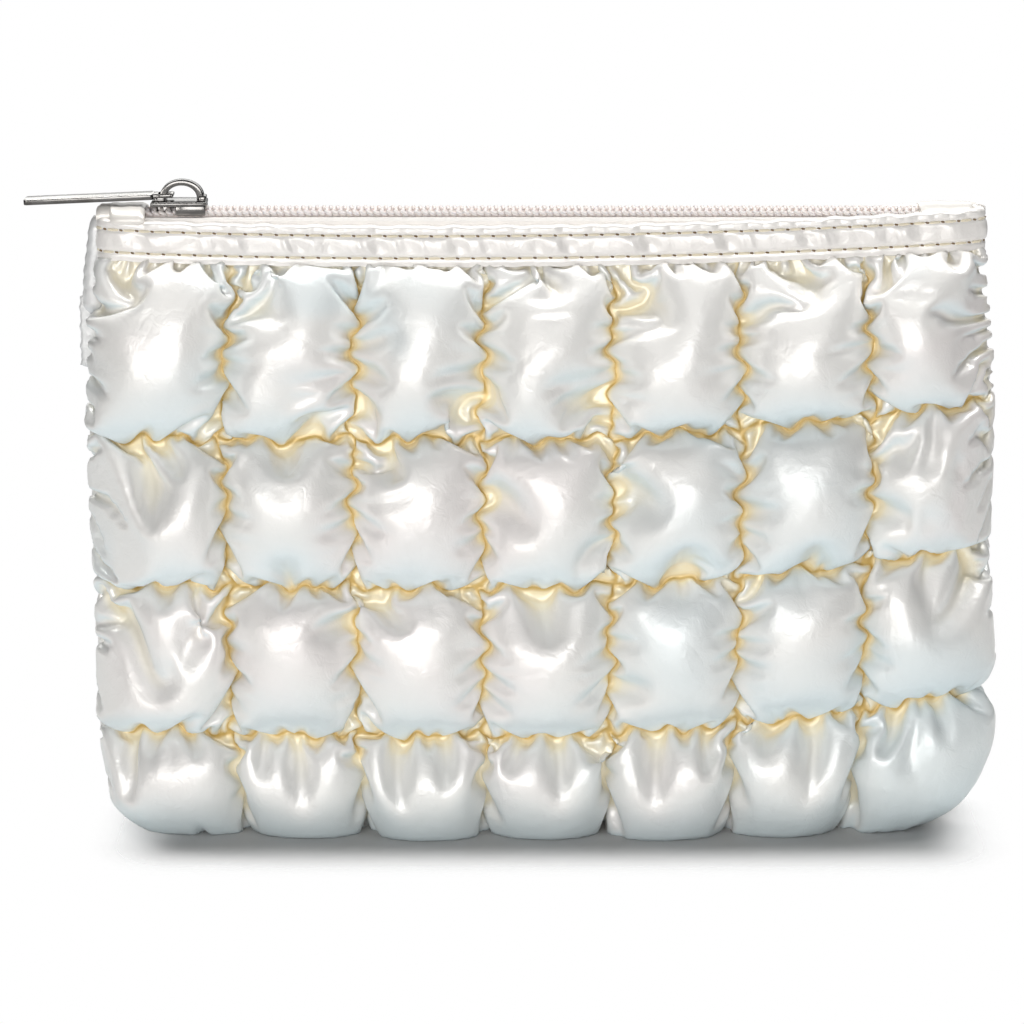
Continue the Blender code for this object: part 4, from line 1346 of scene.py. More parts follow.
@dataclass
class MouthBand:
    """The folded strip round the mouth on one side, with puckers between its two seams."""

    form: PouchForm
    side: Side
    seed: int
    inside: float = 0.0017
    thick: float = 0.0016
    stations: int = 620
    pucker: float = 0.00024
    groove: float = 0.00032
    scallop_pitch: float = 0.00335
    lower_seam: float = 0.22
    upper_seam: float = 0.80
    seam_width: float = 0.055
    ridge_waves: tuple[float, ...] = (0.0078, 0.0056, 0.0140)
    diagonal_waves: tuple[float, ...] = (0.0095, 0.0180)
    fine_waves: tuple[float, ...] = (0.0026, 0.0019, 0.0033)
    scallop_rise: float = 0.00016
    hem_rise: float = 0.00010
    levels: int = 27
    seat: float = 0.0002

    def stations_across(self) -> np.ndarray:
        """Return places across that are evenly spread along the mouth.

        Returns:
            Places from -1 to 1.
        """
        fine = fine_places()
        curve = self.form.mouth(fine, self.form.panel_top, self.inside)
        length = walk(curve)
        return np.interp(np.linspace(0.0, length[-1], self.stations), length, fine)

    def outer_offset(self, share: float, along: np.ndarray) -> np.ndarray:
        """Return how far the outside of the strip stands off the lining.

        Args:
            share: Height on the strip, from 0 at its lower fold to 1 at its crest.
            along: Places along the strip in metres.

        Returns:
            Offsets in metres.
        """
        random = np.random.default_rng(self.seed)
        ridges = waves(random, along + 0.0016 * share, self.ridge_waves)
        diagonal = waves(random, along + 0.005 * share, self.diagonal_waves)
        span = (share - self.lower_seam) / (self.upper_seam - self.lower_seam)
        between = math.sin(math.pi * span) if 0.0 < span < 1.0 else 0.0
        crest = max(0.0, (share - self.upper_seam) / (1.0 - self.upper_seam))
        arcs = np.abs(np.sin(math.pi * along / self.scallop_pitch)) - 0.6
        seams = sum(math.exp(-((share - seam) / self.seam_width) ** 2)
                    for seam in (self.lower_seam, self.upper_seam))
        height = 0.75 * self.thick + 0.25 * self.thick * math.sin(math.pi * min(max(share, 0.05), 0.95))
        fine = waves(random, along + 0.0030 * share, self.fine_waves) * np.clip(ridges, 0.0, 1.0)
        relief = self.pucker * (between * (ridges + 0.6 * diagonal + 0.5 * fine) + 0.25 * ridges
                                + (0.6 * ridges + 0.9 * arcs) * math.sqrt(crest))
        return self.inside + height - self.groove * seams + relief

    def outside(self, across: np.ndarray, offset: np.ndarray, height: np.ndarray) -> np.ndarray:
        """Return points of the front's mouth at offsets outside the lining.

        Args:
            across: Places across, from -1 to 1.
            offset: Distances outside the lining, one for each place.
            height: Nominal heights before the rim's sag.

        Returns:
            Points in metres, one row each.
        """
        base = self.form.mouth(across, self.form.panel_top, 0.0)
        outward = self.form.mouth(across, self.form.panel_top, 1.0) - base
        points = base + outward * offset[:, None]
        points[:, 2] = height + self.form.rim_offset(across)
        return points

    def build(self, material: Finish) -> Piece:
        """Return the strip as one closed piece.

        Args:
            material: Its finish.

        Returns:
            The finished piece.
        """
        across = self.stations_across()
        bottom, top = self.form.band_bottom, self.form.band_top
        curve = self.form.mouth(across, self.form.panel_top, self.inside)
        along = walk(curve)
        scallop = self.scallop_rise * waves(np.random.default_rng(self.seed + 1), along, (0.0063, 0.0105))
        hem = self.hem_rise * waves(np.random.default_rng(self.seed + 2), along, (0.0052, 0.0090))
        loops = []
        for share in np.linspace(0.0, 1.0, self.levels):
            place = self.outer_offset(float(share), along)
            height = bottom + (top - bottom) * share
            loops.append((place, height + scallop * share ** 2 + hem * (1.0 - share) ** 2))
        crest = loops[-1][0]
        for turn in (0.25, 0.5, 0.75):
            low = crest + (self.seat - crest) * turn
            loops.append((low, top + 0.0005 * math.sin(math.pi * turn) + scallop))
        step = self.form.panel_top + 0.0003
        for offset, height in ((self.seat, top - 0.0008), (self.seat, step), (self.inside, step),
                               (self.inside, bottom + 0.0006)):
            loops.append((np.full_like(along, offset), np.full_like(along, height)))
        hidden = (loops[0][0] + self.inside) / 2.0
        loops.append((hidden, np.full_like(along, bottom - 0.0002) + hem))
        points = np.empty((len(across), len(loops), 3))
        for k, (offset, height) in enumerate(loops):
            points[:, k] = self.outside(across, offset, height)
        points[..., 1] = np.minimum(points[..., 1], -0.00015) * -self.side.value
        piece = tube_piece(f"{self.side.label}_band_cloth", points, 70.0)
        finish_piece(piece, material, Body.POUCH, (f"{self.side.label}_band",))
        return piece


def bevel_all(piece: Piece, width: float, segments: int = 2) -> None:
    """Round every edge of a hard piece.

    Args:
        piece: The piece.
        width: Width of the rounding, in metres.
        segments: Steps round each edge.
    """
    bevel = piece.modifiers.new("rounding", "BEVEL")
    bevel.width = width
    bevel.segments = segments
    bevel.limit_method = "ANGLE"
    bevel.angle_limit = math.radians(35.0)
    apply_modifiers(piece)


def add_block(name: str, low: Triple, high: Triple,
              rounding: float) -> Piece:
    """Add a block between two corners, with rounded edges.

    Args:
        name: Name of the piece.
        low: Its lowest corner in metres.
        high: Its highest corner.
        rounding: Radius of its edges.

    Returns:
        The block.
    """
    clear_selection()
    middle = [(a + b) / 2 for a, b in zip(low, high)]
    bpy.ops.mesh.primitive_cube_add(size=1.0, location=middle, scale=[b - a for a, b in zip(low, high)])
    block = take_primitive(name)
    if rounding > 0.0:
        bevel_all(block, rounding)
    return block


def pick(piece: Piece, test: Callable[[Vector, Vector], bool]) -> None:
    """Open a piece in edit mode with the faces selected whose centre and normal pass a test.

    Args:
        piece: The piece.
        test: Takes a face's centre and normal.
    """
    select_only(piece)
    mesh = piece.data
    mesh.vertices.foreach_set("select", [False] * len(mesh.vertices))
    mesh.edges.foreach_set("select", [False] * len(mesh.edges))
    for face in mesh.polygons:
        face.select = test(face.center, face.normal)
    bpy.ops.object.mode_set(mode="EDIT")
    bpy.ops.mesh.select_mode(type="FACE")


def turn_up(piece: Piece, level: float, slack: float) -> None:
    """Mirror a spun piece where the spin ran below its level instead of above it.

    Args:
        piece: The piece.
        level: Height that it was spun from.
        slack: How far a piece that was spun upwards may reach below its level.
    """
    if min(vert.co.z for vert in piece.data.vertices) < level - slack:
        for vert in piece.data.vertices:
            vert.co.z = 2 * level - vert.co.z


def join_all(name: str, pieces: list[Piece]) -> Piece:
    """Join pieces into the first one and name it.

    Args:
        name: Name of the joined piece.
        pieces: The pieces, the first to be kept.

    Returns:
        The joined piece.
    """
    clear_selection()
    for piece in pieces:
        piece.select_set(True)
    bpy.context.view_layer.objects.active = pieces[0]
    bpy.ops.object.join()
    pieces[0].name = name
    pieces[0].data.name = name
    return pieces[0]


def copies(name: str, pattern: Piece, frames: np.ndarray) -> Piece:
    """Set copies of a small piece at many places and take the pattern away.

    Args:
        name: Name of the set.
        pattern: The piece that repeats, modelled round the origin.
        frames: One 3 by 4 matrix for each copy.

    Returns:
        All copies as one piece.
    """
    mesh = pattern.data
    points = np.array([vert.co for vert in mesh.vertices])
    faces = [tuple(face.vertices) for face in mesh.polygons]
    count = len(points)
    placed = np.einsum("nij,pj->npi", frames[:, :, :3], points) + frames[:, None, :, 3]
    all_faces = [tuple(index + k * count for index in face) for k in range(len(frames)) for face in faces]
    bpy.data.objects.remove(pattern, do_unlink=True)
    piece = mesh_piece(name, placed, all_faces)
    piece.data.shade_smooth()
    return piece


def add_stitch(length: float, width: float, height: float) -> Piece:
    """Add one short length of thread, fullest in the middle, with its ends dipping into the cloth.

    Args:
        length: Length of the thread.
        width: Its width.
        height: Its height.

    Returns:
        The thread, lying along X round the origin, to be copied.
    """
    clear_selection()
    bpy.ops.mesh.primitive_cylinder_add(vertices=6, radius=0.5, depth=0.5, rotation=(0.0, math.pi / 2, 0.0))
    stitch = take_primitive("stitch")
    for end in (-1.0, 1.0):
        for reach, size, dip in ((0.16, 0.80, -0.12), (0.07, 0.55, -0.30)):
            pick(stitch, lambda centre, normal, end=end: normal.x * end > 0.9)
            bpy.ops.mesh.extrude_region_move(TRANSFORM_OT_translate={"value": (end * reach, dip, 0.0)})
            bpy.ops.transform.resize(value=(1.0, size, size))
            leave_edit_mode()
    pick(stitch, lambda centre, normal: True)
    bpy.ops.transform.resize(value=(length / 0.96, height, width), center_override=(0.0, 0.0, 0.0))
    leave_edit_mode()
    return stitch


def add_coil_turn(filament: float, reach: float, rise: float, sides: int = 7,
                  steps: int = 9) -> Piece:
    """Add one turn of the coil: a filament spun over the tape's edge.

    Args:
        filament: Thickness of the filament.
        reach: Length of the turn across the tape.
        rise: Height of the turn.
        sides: Sides of the filament.
        steps: Steps round the turn.

    Returns:
        The turn, round the origin, to be copied.
    """
    clear_selection()
    bpy.ops.mesh.primitive_circle_add(vertices=sides, radius=filament / 2, fill_type="NGON",
                                      location=(0.0, (reach - filament) / 2, 0.0))
    turn = take_primitive("turn")
    pick(turn, lambda centre, normal: True)
    bpy.ops.mesh.spin(steps=steps, angle=math.pi, center=(0.0, 0.0, 0.0), axis=(1.0, 0.0, 0.0))
    leave_edit_mode()
    turn_up(turn, 0.0, filament)
    pick(turn, lambda centre, normal: True)
    bpy.ops.transform.resize(value=(1.0, 1.0, rise / (reach / 2)), center_override=(0.0, 0.0, 0.0))
    bpy.ops.mesh.select_all(action="SELECT")
    bpy.ops.mesh.normals_make_consistent(inside=False)
    leave_edit_mode()
    return turn


@dataclass
class BandStitches:
    """Two lines of topstitches on one band: threads, and dark pieces of painted shade for the needle holes
    between them.
    """

    band: MouthBand
    pitch: float = 0.00335
    thread: Triple = (0.0027, 0.00062, 0.00050)
    hole: Triple = (0.00080, 0.00046, 0.00050)
    end_gap: float = 0.0025

    def frames(self, share: float, shift: float, proud: float, slope: float) -> np.ndarray:
        """Return a matrix for each stitch of one line.

        Args:
            share: Height of the line on the band.
            shift: Start of the line, as a share of the pitch.
            proud: How far the stitches' middles stand off the cloth.
            slope: How much each stitch leans across the line.

        Returns:
            One 3 by 4 matrix for each stitch.
        """
        form = self.band.form
        across = self.band.stations_across()
        curve = form.mouth(across, form.panel_top, self.band.inside)
        along = walk(curve)
        offset = self.band.outer_offset(share, along) + proud
        height = form.band_bottom + (form.band_top - form.band_bottom) * share
        points = self.band.outside(across, offset, height)
        points[:, 1] *= -self.band.side.value
        at = np.arange(self.end_gap + shift * self.pitch, along[-1] - self.end_gap, self.pitch)
        middle, ahead = (np.stack([np.interp(place, along, points[:, k]) for k in range(3)], axis=-1)
                         for place in (at, at + 0.0004))
        run = ahead - middle
        run /= np.linalg.norm(run, axis=1, keepdims=True)
        out = np.cross(run, (0.0, 0.0, 1.0))
        out /= np.linalg.norm(out, axis=1, keepdims=True)
        up = np.cross(out, run)
        return np.stack((run + slope * up, out, up, middle), axis=-1)

    def build(self, thread: Finish, shade: Finish) -> None:
        """Add the threads and the painted shade of the needle holes.

        Args:
            thread: Finish of the threads.
            shade: Finish of the holes.
        """
        # the needle holes are small dark pieces that paint the shade inside each hole
        for label, size, shift, proud, slope, material in (
                ("threads", self.thread, 0.0, 0.00006, 0.02, thread),
                ("needle_shade_marks", self.hole, 0.5, 0.00010, -0.15, shade)):
            frames = np.concatenate([self.frames(seam, shift + extra, proud, slope) for seam, extra in (
                (self.band.lower_seam, 0.0), (self.band.upper_seam, 0.3))])
            piece = copies(f"{self.band.side.label}_band_{label}", add_stitch(*size), frames)
            finish_piece(piece, material, Body.POUCH)


@dataclass
class ZipperChain:
    """The closed coil chain: two rows of teeth and the threads that hold them to the tapes."""

    box: tuple[Vector, Vector]
    pitch: float = 0.0015
    tooth: Triple = (0.00090, 0.0030, 0.00095)
    knot: Triple = (0.00190, 0.00095, 0.00120)
    tooth_starts: tuple[float, float] = (0.0004, 0.00115)
    tooth_y: float = 0.00125
    tooth_slant: float = 0.10
    knot_starts: tuple[float, float] = (0.0008, 0.0012)
    knot_y: float = 0.0026
    knot_rise: float = 0.0005
    knot_slant: float = 0.3
    knot_lean: float = -0.5
    core_half: float = 0.0023
    core_span: tuple[float, float] = (-0.0004, 0.0007)

    def row(self, start: float, y: float, z: float, slant: float, lean: float = 0.0) -> np.ndarray:
        """Return a matrix for each part of one row along the chain, its outside away from the middle.

        Args:
            start: Where the row begins along the chain.
            y: Its place across the chain.
            z: Its height.
            slant: How far the parts lean along the chain as they go outwards.
            lean: How far they rise along their length.

        Returns:
            One 3 by 4 matrix for each part.
        """
        places = np.arange(self.box[0].x + start, self.box[1].x, self.pitch)
        frames = np.zeros((len(places), 3, 4))
        frames[:, 0, 0] = frames[:, 2, 2] = 1.0
        frames[:, 1, 1] = math.copysign(1.0, y)
        frames[:, 0, 1] = slant
        frames[:, 2, 0] = lean
        frames[:, 0, 3] = places
        frames[:, 1, 3] = y
        frames[:, 2, 3] = z
        return frames

    def build(self, coil: Finish, thread: Finish) -> None:
        """Add the teeth and the threads over them.

        Args:
            coil: Finish of the teeth.
            thread: Finish of the threads.
        """
        low, high = self.box
        foot = high.z - self.tooth[2]
        teeth_rows, knot_rows = [], []
        for side, tooth_start, knot_start in zip((-1.0, 1.0), self.tooth_starts, self.knot_starts):
            teeth_rows.append(self.row(tooth_start, side * self.tooth_y, foot, -side * self.tooth_slant))
            knot_rows.append(self.row(knot_start, side * self.knot_y, low.z + self.knot_rise,
                                      side * self.knot_slant, self.knot_lean))
        for name, pattern, rows, material, stands_for in (
                ("coil_teeth", add_coil_turn(*self.tooth), teeth_rows, coil, ("zipper_chain",)),
                ("coil_threads", add_stitch(*self.knot), knot_rows, thread, ())):
            finish_piece(copies(name, pattern, np.concatenate(rows)), material, Body.POUCH,
                         stands_for)
        core = add_block("coil_core", (low.x, -self.core_half, low.z + self.core_span[0]),
                         (high.x, self.core_half, low.z + self.core_span[1]), 0.0002)
        smooth(core, 40.0)
        finish_piece(core, coil, Body.POUCH)


@dataclass
class EndTab:
    """Folded pearl cloth over one end of the zipper."""

    form: PouchForm
    name: str
    start: float
    end: float
    top: float
    stands_for: str
    seed: int
    thick: float = 0.0034
    wrap: float = 0.0033
    half_width: float = 0.0088
    side_power: float = 0.55
    top_power: float = 0.6
    droop: float = 0.0011
    stations: int = 34
    sides: int = 28

    def build(self, material: Finish) -> Piece:
        """Return the tab as a soft closed fold.

        Args:
            material: Its finish.

        Returns:
            The finished piece.
        """
        random = np.random.default_rng(self.seed)
        places = np.linspace(self.start, self.end, self.stations)
        around = ring_angles(self.sides)
        crease = waves(random, places, (0.0041, 0.0067)) * 0.00006
        points = np.empty((self.stations, len(around), 3))
        for k, x in enumerate(places):
            across = (x - self.form.centre_x) / float(self.form.width_at(self.form.panel_top))
            share = float(self.form.depth_share(np.array(across), np.array(self.form.panel_top)))
            room = self.form.mouth_half_depth * share + self.wrap
            end = min(k, self.stations - 1 - k) / 3.0
            swell = math.sqrt(min(1.0, 0.35 + 0.65 * end))
            wide = min(self.half_width, room) * (0.94 + 0.06 * swell)
            y = soft_power(np.cos(around), self.side_power) * wide
            z = soft_power(np.sin(around), self.top_power) * self.thick / 2 * swell
            z += self.top - self.thick / 2 + crease[k]
            z -= self.droop * np.clip(np.abs(y) / room, 0.0, 1.0) ** 3
            points[k] = np.stack((np.full_like(y, x), y, z), axis=-1)
        piece = tube_piece(self.name, points, 60.0)
        finish_piece(piece, material, Body.POUCH, (self.stands_for,))
        return piece


@dataclass
class SideBinding:
    """The cloth that binds the left side seam, from the band's end down to the side loop."""

    heights: tuple[float, ...] = (0.1150, 0.1180, 0.1245, 0.1290, 0.1336, 0.1366)
    reaches: tuple[float, ...] = (-0.0931, -0.0935, -0.0932, -0.0925, -0.0919, -0.0916)
    root: float = -0.0885
    half_thick: float = 0.0031
    stations: int = 32
    sides: int = 24

    def build(self, material: Finish) -> Piece:
        """Return the binding as a soft closed strip.

        Args:
            material: Its cloth.

        Returns:
            The finished piece.
        """
        around = ring_angles(self.sides)
        places = np.linspace(self.heights[0], self.heights[-1], self.stations)
        points = np.empty((self.stations, len(around), 3))
        for k, z in enumerate(places):
            end = min(1.0, 0.5 + min(k, self.stations - 1 - k) / 5.0)
            left = float(np.interp(z, self.heights, self.reaches)) + 0.00012 * math.sin(z * 2300.0)
            half = (self.root - left) / 2
            x = self.root - half + np.cos(around) * half * end
            y = soft_power(np.sin(around), 0.6) * self.half_thick * end
            points[k] = np.stack((x, y, np.full_like(x, z)), axis=-1)
        piece = tube_piece("side_binding", points, 60.0)
        finish_piece(piece, material, Body.POUCH)
        return piece


@dataclass
class SideLoop:
    """The small folded loop in the left side seam."""

    box: tuple[Vector, Vector]
    inset: float = 0.0030
    left_inset: float = 0.0010
    foot_lift: float = 0.0028
    top_lift: float = 0.0014
    half_thick: float = 0.00055
    fold_swell: float = 0.00035
    stations: int = 30
    sides: int = 22

    def build(self, material: Finish) -> Piece:
        """Return the loop: two layers that meet in a soft fold at the outside.

        Args:
            material: Its finish.

        Returns:
            The finished piece.
        """
        low, high = self.box
        heights = np.linspace(low.z + self.foot_lift, high.z + self.top_lift, self.stations)
        around = ring_angles(self.sides)
        left, right = low.x + self.left_inset, high.x + self.inset
        points = np.empty((self.stations, len(around), 3))
        for k, z in enumerate(heights):
            end = min(1.0, min(k, self.stations - 1 - k) / 2.0 + 0.55)
            ripple = 0.00012 * math.sin(z * 1500.0) + 0.0001 * math.sin(z * 2900.0)
            x = (left + right) / 2 + np.cos(around) * (right - left) / 2 * end + ripple
            thick = self.half_thick + self.fold_swell * (1.0 - np.cos(around)) / 2
            y = soft_power(np.sin(around), 0.5) * thick * end
            points[k] = np.stack((x, y, np.full_like(x, z)), axis=-1)
        piece = tube_piece("side_loop", points, 60.0)
        finish_piece(piece, material, Body.POUCH, ("side_tab",))
        return piece


@dataclass
class Slider:
    """The cast slider: two plates, flanges, the posts and the bail that the puller hangs on."""

    box: tuple[Vector, Vector]
    plate_top: float = 0.1400
    plate: float = 0.0009
    bail_centre: float = -0.07143
    bail_axis: float = 0.14084
    bail_span: float = 0.0048
    bail_rise: float = 0.0038
    strip: float = 0.0015
    strip_width: float = 0.0030

    def build_plates(self) -> list[Piece]:
        """Return the upper plate with its flanges, the lower plate, the wedge and the two posts.

        Returns:
            The parts, to be joined.
        """
        low, high = self.box
        under = self.plate_top - self.plate
        upper = add_block("upper_plate", (low.x, low.y, under), (high.x, high.y, self.plate_top), 0.0)
        pick(upper, lambda centre, normal: normal.x > 0.9)
        bpy.ops.transform.resize(value=(1.0, 0.86, 1.0))
        leave_edit_mode()
        pick(upper, lambda centre, normal: normal.z > 0.9)
        bpy.ops.mesh.inset(thickness=0.0008, depth=0.00025)
        leave_edit_mode()
        bevel_all(upper, 0.00022, 3)
        middle = low.x + 0.45 * (high.x - low.x)
        outer = high.y * 0.93
        inner = outer - self.plate
        top = self.plate_top
        blocks = (
            ("flange", (middle, -outer, low.z + 0.0022), (high.x - 0.0001, -inner, under + 0.0003), 0.00025),
            ("flange", (middle, inner, low.z + 0.0022), (high.x - 0.0001, outer, under + 0.0003), 0.00025),
            ("lower_plate", (low.x + 0.0004, -0.0034, low.z),
             (high.x - 0.0004, 0.0034, low.z + self.plate), 0.00025),
            ("wedge", (low.x + 0.0007, -0.0010, low.z + 0.0004),
             (low.x + 0.0036, 0.0010, under + 0.0002), 0.0002),
            ("left_post", (low.x + 0.0006, -0.0019, top - 0.0003),
             (low.x + 0.0030, 0.0019, top + 0.0011), 0.0003),
            ("right_post", (high.x - 0.0017, -0.0021, top - 0.0003),
             (high.x - 0.0001, 0.0021, top + 0.0012), 0.0003),
        )
        return [upper, *(add_block(*block) for block in blocks)]

    def build_bail(self) -> Piece:
        """Return the bail, a flat strip turned over the plate.

        Returns:
            The bail, to be joined.
        """
        clear_selection()
        middle = self.bail_span - self.strip / 2
        bpy.ops.mesh.primitive_plane_add(size=1.0, location=(self.bail_centre - middle, 0.0, self.bail_axis))
        bpy.context.object.scale = (self.strip, self.strip_width, 1.0)
        bail = take_primitive("bail")
        pick(bail, lambda centre, normal: True)
        bpy.ops.mesh.spin(steps=20, angle=math.pi, center=(self.bail_centre, 0.0, self.bail_axis),
                          axis=(0.0, 1.0, 0.0))
        leave_edit_mode()
        turn_up(bail, self.bail_axis, 0.001)
        squash = self.bail_rise / self.bail_span
        for vert in bail.data.vertices:
            vert.co.z = self.bail_axis + (vert.co.z - self.bail_axis) * squash
        pick(bail, lambda centre, normal: abs(centre.z - self.bail_axis) < 1e-5)
        bpy.ops.mesh.extrude_region_move(TRANSFORM_OT_translate={"value": (0.0, 0.0, -0.0011)})
        bpy.ops.mesh.select_all(action="SELECT")
        bpy.ops.mesh.remove_doubles(threshold=1e-6)
        bpy.ops.mesh.normals_make_consistent(inside=False)
        leave_edit_mode()
        bevel_all(bail, 0.00022, 2)
        return bail

    def build(self, material: Finish) -> Piece:
        """Return the slider as one piece.

        Args:
            material: Its finish.

        Returns:
            The finished piece.
        """
        piece = join_all("cast_slider", [*self.build_plates(), self.build_bail()])
        smooth(piece, 40.0)
        finish_piece(piece, material, Body.POUCH, ("slider",))
        return piece


@dataclass
class Puller:
    """The flat bar puller with its neck and the eye that runs on the bail."""

    hinge: Triple
    bar_length: float = 0.0283
    bar_width: float = 0.0058
    bar_thick: float = 0.00125
    eye_thick: float = 0.0008
    eye_bar: float = 0.0008
    eye_arm: float = 0.0007
    eye_half: float = 0.0024
    eye_radius: float = 0.00225
    eye_angle: float = 12.0
    window: float = 0.0029
    neck: float = 0.0009
    corner: float = 0.00075
    rounding: float = 0.00026
    tilt: float = 2.5

    def build(self, material: Finish) -> Piece:
        """Return the puller, leaning as it rests.

        Args:
            material: Its finish.

        Returns:
            The finished piece.
        """
        half = self.bar_width / 2
        start = -(self.window + self.neck)
        bar = add_block("flat_bar", (start - self.bar_length, -half, -self.bar_thick / 2),
                        (start, half, self.bar_thick / 2), 0.0)
        pick(bar, lambda centre, normal: True)
        bpy.ops.mesh.select_mode(type="EDGE")
        bpy.ops.mesh.select_all(action="DESELECT")
        leave_edit_mode()
        for edge in bar.data.edges:
            one, two = (bar.data.vertices[index].co for index in edge.vertices)
            edge.select = abs(one.z - two.z) > self.bar_thick / 2
        bpy.ops.object.mode_set(mode="EDIT")
        bpy.ops.mesh.bevel(offset=self.corner, segments=4, profile=0.5)
        leave_edit_mode()
        bevel_all(bar, self.rounding, 3)
        thick = self.eye_thick / 2
        inner = self.eye_half - self.eye_arm
        pieces = [bar]
        pieces.append(add_block("neck", (start - 0.0006, -self.eye_half, -thick * 1.15),
                                (-self.window, self.eye_half, thick * 1.15), 0.0002))
        for side in (-1.0, 1.0):
            low, high = sorted((side * inner, side * self.eye_half))
            pieces.append(add_block("arm", (-self.window - 0.0004, low, -thick), (0.0002, high, thick),
                                    0.00018))
        pieces.append(add_block("cross_bar", (-self.eye_bar / 2, -self.eye_half, -thick),
                                (self.eye_bar / 2, self.eye_half, thick), 0.00022))
        piece = join_all("bar_puller", pieces)
        turn = math.radians(self.eye_angle)
        piece.rotation_euler = (0.0, -math.radians(self.tilt), 0.0)
        piece.location = Vector(self.hinge) + Vector((-self.eye_radius * math.cos(turn), 0.0,
                                                      self.eye_radius * math.sin(turn)))
        select_only(piece)
        bpy.ops.object.transform_apply(location=True, rotation=True, scale=True)
        smooth(piece, 40.0)
        finish_piece(piece, material, Body.PULLER, ("puller",))
        return piece


@dataclass(frozen=True)
class SoftBox:
    """A soft light: where it hangs and its size in metres, its power in watts and its colour."""

    name: str
    place: Triple
    size: tuple[float, float]
    power: float
    colour: Triple


SOFT_BOXES = (
    SoftBox("left_box", (-0.65, -1.05, 0.20), (0.25, 0.22), 1.9, (1.0, 0.98, 0.95)),
    SoftBox("top_box", (0.03, 0.15, 0.85), (1.20, 0.16), 8.8, (1.0, 0.995, 0.98)),
    SoftBox("upper_box", (-0.05, -0.80, 0.85), (1.30, 0.45), 1.2, (1.0, 0.99, 0.98)),
    SoftBox("front_box", (-0.08, -1.25, 0.29), (0.70, 0.34), 5.6, (1.0, 0.99, 0.98)),
    SoftBox("back_box", (0.0, 1.3, 0.42), (1.7, 0.45), 3.4, (1.0, 0.99, 0.97)),
)


